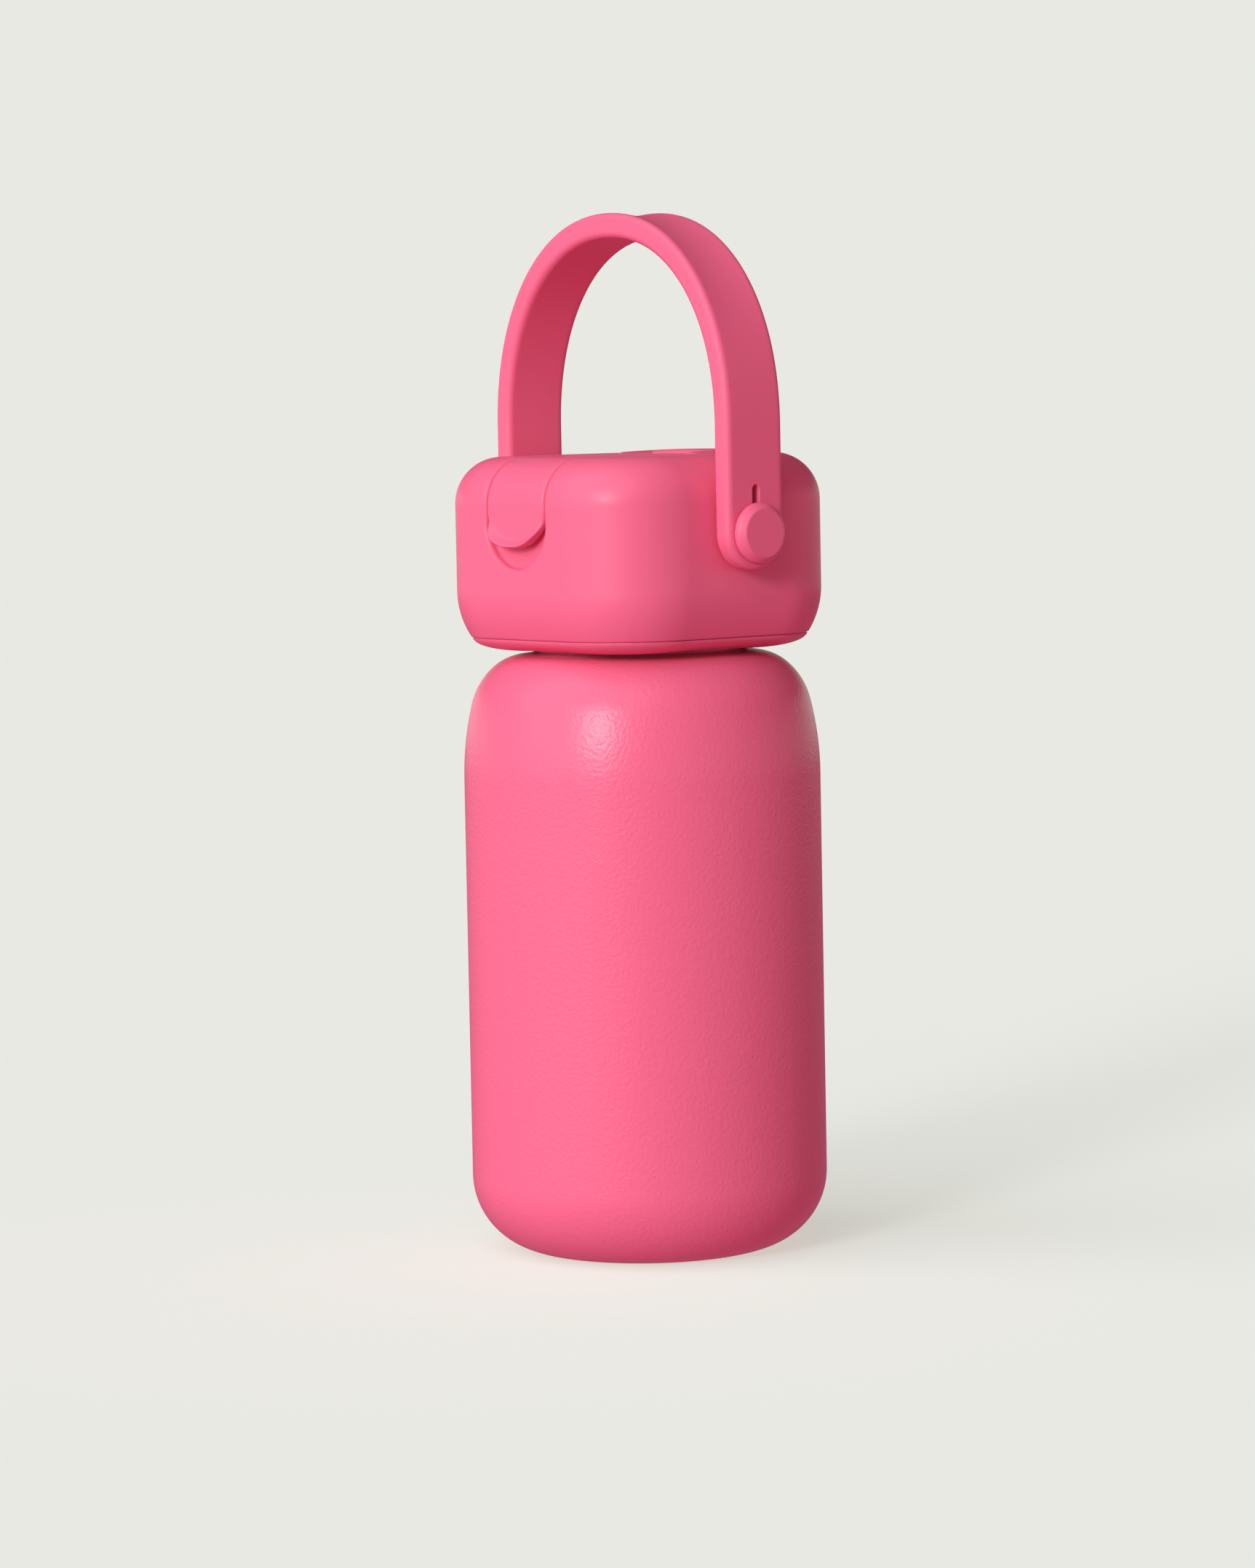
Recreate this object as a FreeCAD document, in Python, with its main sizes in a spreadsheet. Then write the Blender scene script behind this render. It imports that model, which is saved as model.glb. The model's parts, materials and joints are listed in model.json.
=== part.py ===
import FreeCAD, Part
import math
import os
import re

import Sketcher

# A steel shaker bottle with a rounded-square flip-top lid and a swinging carry strap.
# Millimetres. Origin at the centre of the foot ring, +Z up, -Y towards the flap's tongue,
# and the strap's two pivots on the X direction.

SIZES = {
    # steel bottle: outer shell, shoulder arcs and neck
    "body_radius": 42.0, "shell_wall": 0.6, "liner_gap": 2.8, "liner_wall": 0.5,
    "foot_radius": 26.5, "foot_inner": 24.0, "corner_radius": 18.2, "corner_height": 18.0,
    "shoulder_level": 112.0, "arc_one": 74.0, "arc_two": 16.7, "arc_three": 11.9,
    "turn_one": 13.7, "turn_two": 48.7, "turn_three": 83.9,
    "neck_radius": 24.4, "neck_foot": 141.6, "neck_top": 156.0, "rim_top": 157.0,
    "mouth_radius": 22.4, "floor_level": 4.5, "liner_corner": 15.0, "liner_step": 0.3,
    "disc_level": 1.2, "disc_wall": 0.8, "recess_wall": 0.8, "plug_radius": 3.0, "getter_radius": 7.0,
    # screw thread between neck and lid
    "thread_lead": 6.0, "thread_level": 145.5, "thread_turns": 1.25, "lid_turns": 1.0,
    "thread_root": 1.1, "thread_crest": 0.5, "thread_depth": 1.2, "lid_thread_depth": 1.1, "thread_bite": 0.5,
    # lid
    "lid_half": 36.8, "lid_corner": 22.0, "lid_top": 187.5, "lid_round": 11.0,
    "seam_level": 145.3, "lower_round": 20.5, "lower_run": 11.0, "lid_wall": 2.2,
    "seam_half": 31.4, "roof_level": 178.9, "pocket_level": 181.0, "wall_level": 152.0,
    "base_half": 33.2, "base_corner": 18.6, "base_bottom": 142.0, "base_tip": 28.2,
    "tip_corner": 27.7, "tongue_height": 3.0, "front_inner": 31.0,
    "roof_half_x": 28.0, "roof_half_y": 25.0, "roof_corner": 5.0, "roof_skin": 3.0, "roof_margin": 2.0,
    "collar_outer": 28.0, "collar_inner": 26.0, "collar_bottom": 142.4,
    "deck_level": 160.0, "deck_wall": 2.4,
    "gasket_inner": 22.8, "gasket_outer": 25.6, "gasket_bottom": 157.3, "gasket_top": 159.7,
    # spout, vent and mixing grid
    "spout_y": 14.0, "spout_bore": 6.5, "spout_outer": 8.0, "spout_top": 183.6, "spout_flange": 10.0,
    "flange_wall": 1.6, "vent_y": 1.5, "vent_bore": 1.2, "vent_outer": 2.5, "vent_stem": 1.5,
    "valve_head": 3.5, "valve_top": 182.3, "valve_bevel": 1.0, "valve_rim": 0.4,
    "grid_radius": 20.5, "grid_wall": 1.5, "grid_level": 150.0, "grid_hole": 2.1,
    "ring_one": 5.6, "ring_two": 11.0, "ring_three": 16.2,
    # flap and its hinge
    "flap_half": 10.5, "flap_wall": 2.0, "slot_gap": 0.3, "scoop_radius": 10.9, "scoop_centre": 172.7,
    "scoop_lead": 0.2,
    "hinge_y": 8.0, "hinge_level": 184.3, "knuckle_radius": 2.9, "pin_radius": 1.2, "pin_fit": 0.05,
    "tongue_level": 171.5, "lip_out": 2.4, "lip_level": 167.8, "lip_wall": 1.3, "foot_round": 7.0,
    "plug_fit": 0.3, "plug_bottom": 181.9, "seal_outer": 7.9, "seal_wall": 1.2,
    "block_half": 14.5, "block_front": 14.0, "block_back": 29.0, "block_top": 188.4,
    "ear_front": 4.6, "ear_gap": 0.4, "block_round": 0.9, "ledge_y": 24.0,
    # carry strap and studs
    "pivot_level": 169.5, "strap_inner": 37.6, "strap_outer": 42.8, "strap_width": 17.0,
    "strap_bottom": 160.9, "arch_level": 194.0, "arch_inner": 44.0, "arch_outer": 50.1,
    "crown_inner": 31.9, "crown_outer": 37.6, "end_round": 8.4, "slit_width": 2.0, "slit_top": 179.8,
    "stud_radius": 4.0, "stud_fit": 0.05, "stud_inner": 31.6, "stud_shoulder": 43.1, "stud_face": 45.9,
    "stud_head": 7.0, "stud_crown": 5.7, "stud_rim": 44.6,
    "clip_inner": 3.2, "clip_outer": 7.0, "clip_wall": 1.2,
    # how far a cut runs past the face that it opens
    "overrun": 1.0,
}

# edges and faces this close to a height count as lying on it
TOUCH = 0.01

doc = FreeCAD.newDocument("ShakerBottle")
sheet = doc.addObject("Spreadsheet::Sheet", "Sizes")
for row, (alias, number) in enumerate(SIZES.items(), start=1):
    sheet.set(f"A{row}", alias)
    sheet.set(f"B{row}", str(number))
    sheet.setAlias(f"B{row}", alias)
doc.recompute()


# ---------------------------------------------------------------- building helpers

def ref(text):
    """The expression, with each size name pointing at its cell of the sheet."""
    return re.sub(r"[a-z]\w*", lambda word: "Sizes." + word[0] if word[0] in SIZES else word[0], text)


def value(text):
    """The number that an expression of size names gives."""
    return float(sheet.evalExpression(ref(text)))


def piece(label):
    """A new PartDesign body, which becomes one node."""
    body = doc.addObject("PartDesign::Body", label)
    body.Label = label
    return body


def new_sketch(body, role, level="0"):
    """An empty sketch on one of the body's own origin planes, moved along the plane's normal."""
    sketch = body.newObject("Sketcher::SketchObject", "Sketch")
    plane = next(item for item in body.Origin.OriginFeatures if item.Role == role)
    sketch.AttachmentSupport = [(plane, "")]
    sketch.MapMode = "FlatFace"
    sketch.setExpression("AttachmentOffset.Base.z", ref(level))
    return sketch


def hold(sketch, kind, text, *where):
    """A dimension of a sketch, driven by an expression of size names."""
    index = sketch.addConstraint(Sketcher.Constraint(kind, *where, value(text)))
    sketch.setExpression(f"Constraints[{index}]", ref(text))


def hold_point(sketch, item, end, x, y):
    """Both coordinates of one end of a line or arc."""
    hold(sketch, "DistanceX", x, -1, 1, item, end)
    hold(sketch, "DistanceY", y, -1, 1, item, end)


def arc_between(start, finish, radius):
    """The short arc between two points; a positive radius runs counterclockwise."""
    chord = finish - start
    middle = (start + finish) * 0.5
    left = FreeCAD.Vector(-chord.y, chord.x, 0).normalize()
    depth = abs(radius) - math.sqrt(max(radius * radius - chord.Length ** 2 / 4, 0))
    return Part.Arc(start, middle - left * math.copysign(depth, radius), finish)


def loop(sketch, corners):
    """A closed outline. A corner is (x, y), or (x, y, radius) where an arc leaves it."""
    points = [FreeCAD.Vector(value(corner[0]), value(corner[1]), 0) for corner in corners]
    first = sketch.GeometryCount
    ends = []
    for number, corner in enumerate(corners):
        start = points[number]
        finish = points[(number + 1) % len(points)]
        curved = len(corner) == 3
        shape = arc_between(start, finish, value(corner[2])) if curved else Part.LineSegment(start, finish)
        item = sketch.addGeometry(shape)
        forward = (sketch.getPoint(item, 1) - start).Length < (sketch.getPoint(item, 2) - start).Length
        ends.append((item, 1, 2) if forward else (item, 2, 1))
    for number, (item, start, finish) in enumerate(ends):
        following = ends[(number + 1) % len(ends)]
        sketch.addConstraint(Sketcher.Constraint("Coincident", item, finish, following[0], following[1]))
    for number, corner in enumerate(corners):
        hold_point(sketch, first + number, ends[number][1], corner[0], corner[1])
        if len(corner) == 3:
            hold(sketch, "Radius", f"abs({corner[2]})", first + number)


def disc(sketch, x, y, radius):
    """A circle in a sketch."""
    centre = FreeCAD.Vector(value(x), value(y), 0)
    item = sketch.addGeometry(Part.Circle(centre, FreeCAD.Vector(0, 0, 1), value(radius)))
    hold_point(sketch, item, 3, x, y)
    hold(sketch, "Radius", radius, item)


def turned(body, corners, kind="PartDesign::Revolution"):
    """Material (or, with Groove, a cut) turned about the Z axis from an outline of (radius, height)."""
    sketch = new_sketch(body, "XZ_Plane")
    loop(sketch, corners)
    feature = body.newObject(kind, "Turned")
    feature.Profile = sketch
    feature.ReferenceAxis = (sketch, ["V_Axis"])
    feature.Angle = 360
    return feature


def run_out(body, sketch, kind, length, way):
    """A Pad or Pocket from a sketch: way is up, down or both, along the sketch's normal."""
    before = body.Shape.Volume if kind == "Pocket" else 0
    feature = body.newObject("PartDesign::" + kind, kind)
    feature.Profile = sketch
    feature.setExpression("Length", ref(length))
    if way == "both":
        feature.SideType = "Symmetric"
    else:
        feature.Reversed = (way == "down") == (kind == "Pad")
    doc.recompute()
    if kind == "Pocket" and body.Shape.Volume > before - TOUCH:
        raise RuntimeError(f"a pocket of {body.Label} removes nothing")
    return feature


def box_outline(x_low, x_high, y_low, y_high):
    """A plain rectangle."""
    return [(x_low, y_low), (x_high, y_low), (x_high, y_high), (x_low, y_high)]


def rounded_outline(x_low, x_high, y_low, y_high, radius):
    """A rectangle with round corners."""
    return [
        (f"{x_low}+{radius}", y_low),
        (f"{x_high}-{radius}", y_low, radius),
        (x_high, f"{y_low}+{radius}"),
        (x_high, f"{y_high}-{radius}", radius),
        (f"{x_high}-{radius}", y_high),
        (f"{x_low}+{radius}", y_high, radius),
        (x_low, f"{y_high}-{radius}"),
        (x_low, f"{y_low}+{radius}", radius),
    ]


def square_outline(half, radius):
    """A rounded square about the axis."""
    return rounded_outline(f"-({half})", half, f"-({half})", half, f"({radius})")


def slab(body, kind, outline, low, high):
    """A Pad or Pocket of one flat outline between two heights."""
    sketch = new_sketch(body, "XY_Plane", low)
    loop(sketch, outline)
    return run_out(body, sketch, kind, f"{high}-({low})", "up")


def bore(body, y, radius, low, high):
    """An upright round hole."""
    sketch = new_sketch(body, "XY_Plane", low)
    disc(sketch, "0", y, radius)
    return run_out(body, sketch, "Pocket", f"{high}-({low})", "up")


def rounded(body, radius, chosen):
    """A fillet on those edges of the body so far that the test picks."""
    doc.recompute()
    base = body.Tip
    names = [f"Edge{number}" for number, edge in enumerate(base.Shape.Edges, start=1) if chosen(edge)]
    fillet = body.newObject("PartDesign::Fillet", "Rounded")
    fillet.Base = (base, names)
    fillet.setExpression("Radius", ref(radius))
    doc.recompute()
    return fillet


def level_edge(height):
    """A test for edges that lie flat at one height."""
    level = value(height)
    return lambda edge: abs(edge.BoundBox.ZMin - level) < TOUCH and abs(edge.BoundBox.ZMax - level) < TOUCH


def thread(body, level, turns, corners):
    """A right-hand screw ridge about the Z axis, starting on the +X side."""
    sketch = new_sketch(body, "XZ_Plane")
    loop(sketch, [(x, f"{level}+({rise})") for x, rise in corners])
    ridge = body.newObject("PartDesign::AdditiveHelix", "Thread")
    ridge.Profile = sketch
    ridge.ReferenceAxis = (sketch, ["V_Axis"])
    ridge.Mode = "pitch-turns-angle"
    ridge.setExpression("Pitch", ref("thread_lead"))
    ridge.setExpression("Turns", ref(turns))
    return ridge


# ---------------------------------------------------------------- steel bottle

def shoulder(inset, wall_first):
    """The bottle's side, shoulder and neck foot at a depth inside the outer face, as outline corners.

    Three arcs that run into each other carry the wall round to the neck. With wall_first the
    corners run upwards; otherwise they run downwards.
    """
    one = f"(arc_one-{inset})"
    two = f"(arc_two-{inset})"
    three = f"(arc_three-{inset})"
    centre_one = "(body_radius-arc_one)"
    centre_two = f"({centre_one}+(arc_one-arc_two)*cos(turn_one))"
    level_two = "(shoulder_level+(arc_one-arc_two)*sin(turn_one))"
    centre_three = f"({centre_two}+(arc_two-arc_three)*cos(turn_two))"
    level_three = f"({level_two}+(arc_two-arc_three)*sin(turn_two))"
    ends = [
        (f"body_radius-{inset}", "shoulder_level"),
        (f"{centre_one}+{one}*cos(turn_one)", f"shoulder_level+{one}*sin(turn_one)"),
        (f"{centre_two}+{two}*cos(turn_two)", f"{level_two}+{two}*sin(turn_two)"),
        (f"{centre_three}+{three}*cos(turn_three)", f"{level_three}+{three}*sin(turn_three)"),
    ]
    radii = [one, two, three]
    if wall_first:
        return [end + (radius,) for end, radius in zip(ends, radii)] + [ends[-1]]
    backwards = ends[::-1]
    return [end + (f"-{radius}",) for end, radius in zip(backwards, radii[::-1])] + [backwards[-1]]


def make_outer_shell():
    """The painted steel shell: foot ring, side, shoulder and the neck with its thread."""
    body = piece("outer_shell")
    turned(body, [
        ("foot_inner", "0"),
        ("foot_radius", "0", "corner_radius"),
        ("body_radius", "corner_height"),
        *shoulder("0", wall_first=True),
        ("neck_radius", "neck_foot"),
        ("neck_radius", "neck_top"),
        ("neck_radius-shell_wall", "neck_top"),
        ("neck_radius-shell_wall", "neck_foot-shell_wall"),
        *shoulder("shell_wall", wall_first=False),
        ("body_radius-shell_wall", "corner_height", "-(corner_radius-shell_wall)"),
        ("foot_radius", "shell_wall"),
        ("foot_inner+recess_wall", "shell_wall"),
        ("foot_inner+recess_wall", "disc_level+disc_wall"),
        ("foot_inner", "disc_level+disc_wall"),
    ])
    thread(body, "thread_level", "thread_turns", [
        ("neck_radius-shell_wall/2", "-thread_root"),
        ("neck_radius", "-thread_root"),
        ("neck_radius+thread_depth", "-thread_crest"),
        ("neck_radius+thread_depth", "thread_crest"),
        ("neck_radius", "thread_root"),
        ("neck_radius-shell_wall/2", "thread_root"),
    ])


def make_inner_liner():
    """The inner steel cup, one vacuum gap inside the shell, with the rolled drinking rim."""
    body = piece("inner_liner")
    turned(body, [
        ("0", "floor_level"),
        ("body_radius-liner_gap-liner_corner", "floor_level", "liner_corner"),
        ("body_radius-liner_gap", "floor_level+liner_corner"),
        *shoulder("liner_gap", wall_first=True),
        ("neck_radius-shell_wall", "neck_foot-liner_gap+liner_step"),
        ("neck_radius-shell_wall", "neck_top"),
        ("neck_radius", "neck_top"),
        ("neck_radius", "rim_top"),
        ("mouth_radius", "rim_top"),
        ("mouth_radius", "neck_foot-liner_gap-liner_wall"),
        *shoulder("(liner_gap+liner_wall)", wall_first=False),
        ("body_radius-liner_gap-liner_wall", "floor_level+liner_corner", "-(liner_corner-liner_wall)"),
        ("body_radius-liner_gap-liner_corner", "floor_level+liner_wall"),
        ("0", "floor_level+liner_wall"),
    ])


def make_base_pieces():
    """The disc that closes the shell from below, its sealing plug and the getter inside the vacuum."""
    base = piece("base_disc")
    turned(base, [
        ("plug_radius", "disc_level"),
        ("foot_inner", "disc_level"),
        ("foot_inner", "disc_level+disc_wall"),
        ("plug_radius", "disc_level+disc_wall"),
    ])
    plug = piece("vacuum_plug")
    turned(plug, [
        ("0", "disc_level"),
        ("plug_radius", "disc_level"),
        ("plug_radius", "disc_level+disc_wall"),
        ("0", "disc_level+disc_wall"),
    ])
    getter = piece("getter_disc")
    turned(getter, [
        ("0", "disc_level+disc_wall"),
        ("getter_radius", "disc_level+disc_wall"),
        ("getter_radius", "disc_level+2*disc_wall"),
        ("0", "disc_level+2*disc_wall"),
    ])


# ---------------------------------------------------------------- lid

def make_lid_housing():
    """The rounded-square lid shell, with the flap's slot, the thumb scoop and the hinge pocket."""
    body = piece("lid_housing")
    low = "(seam_level+lower_run-lower_round)"
    slab(body, "Pad", square_outline("lid_half", "lid_corner"), low, "lid_top")
    rounded(body, "lower_round", level_edge(low))
    rounded(body, "lid_round", level_edge("lid_top"))
    reach = "2*lid_half"
    slab(body, "Pocket", box_outline(f"-{reach}", reach, f"-{reach}", reach), low, "seam_level")
    # the hollow inside: a neck at the seam, a wider room above it and two shallow roof pockets
    slab(body, "Pocket", square_outline("seam_half", "lid_corner-lid_half+seam_half"),
         "seam_level", "wall_level")
    inner = "(lid_half-lid_wall)"
    slab(body, "Pocket", rounded_outline(f"-{inner}", inner, "-front_inner", inner, "(lid_corner-lid_wall)"),
         "wall_level", "roof_level")
    side = "(block_half+roof_margin)"
    for near, far in ((side, "roof_half_x"), ("-roof_half_x", f"-{side}")):
        outline = rounded_outline(near, far, "-roof_half_y", "roof_half_y", "roof_corner")
        slab(body, "Pocket", outline, "roof_level", "lid_top-roof_skin")
    # the slot that the flap lies in, seen from the side
    floor = "(lid_round-flap_wall-slot_gap)"
    centre_y = "-(lid_half-lid_round)"
    centre_z = "(lid_top-lid_round)"
    slot = new_sketch(body, "YZ_Plane")
    loop(slot, [
        ("-lid_half-overrun", "scoop_centre"),
        ("-(lid_half-flap_wall-slot_gap)", "scoop_centre"),
        ("-(lid_half-flap_wall-slot_gap)", centre_z, f"-{floor}"),
        (centre_y, f"{centre_z}+{floor}"),
        ("-ledge_y", f"{centre_z}+{floor}"),
        ("-ledge_y", "pocket_level"),
        ("ear_front+overrun", "pocket_level"),
        ("ear_front+overrun", "lid_top+overrun"),
        ("-lid_half-overrun", "lid_top+overrun"),
    ])
    run_out(body, slot, "Pocket", "2*(flap_half+slot_gap)", "both")
    # the scoop under the tongue, with a half-round foot
    scoop = new_sketch(body, "XZ_Plane", "lid_half-flap_wall-slot_gap")
    loop(scoop, [
        ("-scoop_radius", "scoop_centre+scoop_lead"),
        ("-scoop_radius", "scoop_centre", "scoop_radius"),
        ("0", "scoop_centre-scoop_radius", "scoop_radius"),
        ("scoop_radius", "scoop_centre"),
        ("scoop_radius", "scoop_centre+scoop_lead"),
    ])
    run_out(body, scoop, "Pocket", "flap_wall+slot_gap+overrun", "up")
    slab(body, "Pocket", box_outline("-block_half", "block_half", "ear_front", "block_back"),
         "pocket_level", "lid_top+overrun")
    bore(body, "-spout_y", "spout_outer", "roof_level-overrun", "pocket_level+overrun")
    bore(body, "-vent_y", "vent_stem", "roof_level-overrun", "pocket_level+overrun")
    # one pair of holes for the strap's studs
    holes = new_sketch(body, "YZ_Plane")
    disc(holes, "0", "pivot_level", "stud_radius")
    run_out(body, holes, "Pocket", "2*(lid_half+overrun)", "both")


def make_lid_base():
    """The dished plate that closes the lid from below, round the collar."""
    body = piece("lid_base")
    seam = new_sketch(body, "XY_Plane", "seam_level")
    loop(seam, square_outline("base_half", "base_corner"))
    tip = new_sketch(body, "XY_Plane", "base_bottom")
    loop(tip, square_outline("base_tip", "tip_corner"))
    dish = body.newObject("PartDesign::AdditiveLoft", "Dish")
    dish.Profile = seam
    dish.Sections = [tip]
    dish.Ruled = True
    slab(body, "Pad", square_outline("seam_half", "lid_corner-lid_half+seam_half"),
         "seam_level", "seam_level+tongue_height")
    bore(body, "0", "collar_outer", "base_bottom-overrun", "seam_level+tongue_height+overrun")


def make_lid_collar():
    """The threaded tube that screws on to the neck."""
    body = piece("lid_collar")
    turned(body, box_outline("collar_inner", "collar_outer", "collar_bottom", "deck_level"))
    thread(body, "thread_level+thread_lead/2", "lid_turns", [
        ("collar_inner+thread_bite", "-thread_root"),
        ("collar_inner+thread_bite", "thread_root"),
        ("collar_inner", "thread_root"),
        ("collar_inner-lid_thread_depth", "thread_crest"),
        ("collar_inner-lid_thread_depth", "-thread_crest"),
        ("collar_inner", "-thread_root"),
    ])


def make_lid_deck():
    """The disc over the mouth, with the ways out for the drink and the air."""
    body = piece("lid_deck")
    turned(body, box_outline("0", "collar_outer", "deck_level", "deck_level+deck_wall"))
    doc.recompute()
    bore(body, "-spout_y", "spout_bore", "deck_level-overrun", "deck_level+deck_wall+overrun")
    bore(body, "-vent_y", "vent_bore", "deck_level-overrun", "deck_level+deck_wall+overrun")


def make_lid_gasket():
    """The flat ring that the rim presses against."""
    body = piece("lid_gasket")
    turned(body, box_outline("gasket_inner", "gasket_outer", "gasket_bottom", "gasket_top"))


def make_spout():
    """The drinking tube, with a flange on the deck and a plain lip under the flap."""
    body = piece("spout")
    low = "deck_level+deck_wall"
    turned(body, [
        ("spout_bore", low),
        ("spout_flange", low),
        ("spout_flange", f"{low}+flange_wall"),
        ("spout_outer", f"{low}+flange_wall"),
        ("spout_outer", "spout_top"),
        ("spout_bore", "spout_top"),
    ])
    body.setExpression("Placement.Base.y", ref("-spout_y"))


def make_vent():
    """The air tube beside the spout and the soft valve on top of it."""
    tube = piece("vent_tube")
    turned(tube, box_outline("vent_bore", "vent_outer", "deck_level+deck_wall", "roof_level"))
    tube.setExpression("Placement.Base.y", ref("-vent_y"))
    valve = piece("vent_valve")
    turned(valve, [
        ("0", "roof_level"),
        ("vent_stem", "roof_level"),
        ("vent_stem", "pocket_level"),
        ("valve_head", "pocket_level"),
        ("valve_head", "valve_top-valve_rim"),
        ("valve_head-valve_bevel", "valve_top"),
        ("0", "valve_top"),
    ])
    valve.setExpression("Placement.Base.y", ref("-vent_y"))


def make_mixing_grid():
    """The perforated cup inside the mouth that breaks up lumps, hung from the deck."""
    body = piece("mixing_grid")
    turned(body, [
        ("0", "grid_level"),
        ("grid_radius", "grid_level"),
        ("grid_radius", "deck_level"),
        ("grid_radius-grid_wall", "deck_level"),
        ("grid_radius-grid_wall", "grid_level+grid_wall"),
        ("0", "grid_level+grid_wall"),
    ])
    doc.recompute()
    through = ("grid_level-overrun", "grid_level+grid_wall+overrun")
    bore(body, "0", "grid_hole", *through)
    for ring, count in (("ring_one", 6), ("ring_two", 12), ("ring_three", 18)):
        hole = bore(body, ring, "grid_hole", *through)
        pattern = body.newObject("PartDesign::PolarPattern", "Ring")
        pattern.Originals = [hole]
        pattern.Axis = (next(item for item in body.Origin.OriginFeatures if item.Role == "Z_Axis"), [""])
        pattern.Angle = 360
        pattern.Occurrences = count
        body.Tip = pattern
        doc.recompute()


# ---------------------------------------------------------------- flap and hinge

def make_flap():
    """The flip cover: hinge knuckle, top skin, rounded nose and the tongue with its lifted lip."""
    body = piece("flap")
    centre_y = "-(lid_half-lid_round)"
    centre_z = "(lid_top-lid_round)"
    inner = "(lid_round-flap_wall)"
    skin = new_sketch(body, "YZ_Plane")
    loop(skin, [
        ("hinge_y", "lid_top"),
        (centre_y, "lid_top", "lid_round"),
        ("-lid_half", centre_z),
        ("-lid_half", "tongue_level"),
        ("-(lid_half+lip_out)", "lip_level"),
        ("-(lid_half+lip_out-lip_wall)", "lip_level-lip_wall/2"),
        ("-(lid_half-flap_wall)", "tongue_level-1"),
        ("-(lid_half-flap_wall)", centre_z, f"-{inner}"),
        (centre_y, f"{centre_z}+{inner}"),
        ("hinge_y", "lid_top-flap_wall"),
    ])
    run_out(body, skin, "Pad", "2*flap_half", "both")
    knuckle = new_sketch(body, "YZ_Plane")
    disc(knuckle, "hinge_y", "hinge_level", "knuckle_radius")
    run_out(body, knuckle, "Pad", "2*flap_half", "both")
    pin_hole = new_sketch(body, "YZ_Plane")
    disc(pin_hole, "hinge_y", "hinge_level", "pin_radius+pin_fit")
    run_out(body, pin_hole, "Pocket", "4*flap_half", "both")
    # the tongue's foot is round when seen from the front
    level = value("lip_level") + TOUCH
    rounded(body, "foot_round", lambda edge: edge.BoundBox.ZMax < level and edge.BoundBox.XLength < TOUCH)


def make_spout_plug():
    """The plug under the flap that closes the spout, and the soft ring round it."""
    plug = piece("spout_plug")
    under = "lid_top-flap_wall"
    turned(plug, box_outline("0", "spout_bore-plug_fit", "plug_bottom", under))
    plug.setExpression("Placement.Base.y", ref("-spout_y"))
    ring = piece("spout_gasket")
    turned(ring, box_outline("spout_bore-plug_fit", "seal_outer", f"{under}-seal_wall", under))
    ring.setExpression("Placement.Base.y", ref("-spout_y"))


def make_hinge():
    """The block let into the lid's top, with two ears, and the pin between them."""
    body = piece("hinge_block")
    slab(body, "Pad", box_outline("-block_half", "block_half", "ear_front", "block_back"),
         "pocket_level", "block_top")
    gap = "(flap_half+ear_gap)"
    slab(body, "Pocket", box_outline(f"-{gap}", gap, "ear_front-overrun", "block_front"),
         "pocket_level", "block_top+overrun")
    rounded(body, "block_round", level_edge("block_top"))
    hole = new_sketch(body, "YZ_Plane")
    disc(hole, "hinge_y", "hinge_level", "pin_radius")
    run_out(body, hole, "Pocket", "4*block_half", "both")
    pin = piece("flap_hinge_pin")
    rod = new_sketch(pin, "YZ_Plane")
    disc(rod, "hinge_y", "hinge_level", "pin_radius")
    run_out(pin, rod, "Pad", "2*block_half", "both")


# ---------------------------------------------------------------- strap and studs

def half_arch(half, rise, crown):
    """Side radius and joint of a two-radius arch that is upright at its foot and level at its crown."""
    side = f"(({half}^2+({rise}-{crown})^2-{crown}^2)/(2*({half}-{crown})))"
    joint_x = f"{crown}*({side}-{half})/({side}-{crown})"
    joint_z = f"arch_level+{rise}-{crown}+{crown}*({rise}-{crown})/({side}-{crown})"
    return side, joint_x, joint_z


def make_carry_strap():
    """The silicone strap: one arch with a keyhole at each end that snaps over a stud."""
    body = piece("carry_strap")
    side_out, x_out, z_out = half_arch("strap_outer", "arch_outer", "crown_outer")
    side_in, x_in, z_in = half_arch("strap_inner", "arch_inner", "crown_inner")
    front = new_sketch(body, "XZ_Plane")
    loop(front, [
        ("strap_inner", "strap_bottom"),
        ("strap_outer", "strap_bottom"),
        ("strap_outer", "arch_level", side_out),
        (x_out, z_out, "crown_outer"),
        ("0", "arch_level+arch_outer", "crown_outer"),
        (f"-{x_out}", z_out, side_out),
        ("-strap_outer", "arch_level"),
        ("-strap_outer", "strap_bottom"),
        ("-strap_inner", "strap_bottom"),
        ("-strap_inner", "arch_level", f"-{side_in}"),
        (f"-{x_in}", z_in, "-crown_inner"),
        ("0", "arch_level+arch_inner", "-crown_inner"),
        (x_in, z_in, f"-{side_in}"),
        ("strap_inner", "arch_level"),
    ])
    run_out(body, front, "Pad", "strap_width", "both")
    low = value("strap_bottom") + TOUCH
    rounded(body, "end_round", lambda edge: edge.BoundBox.ZMax < low and edge.BoundBox.YLength < TOUCH)
    holes = new_sketch(body, "YZ_Plane")
    disc(holes, "0", "pivot_level", "stud_radius+stud_fit")
    run_out(body, holes, "Pocket", "4*strap_outer", "both")
    slit = new_sketch(body, "YZ_Plane")
    loop(slit, box_outline("-slit_width/2", "slit_width/2", "pivot_level", "slit_top"))
    run_out(body, slit, "Pocket", "4*strap_outer", "both")


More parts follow.
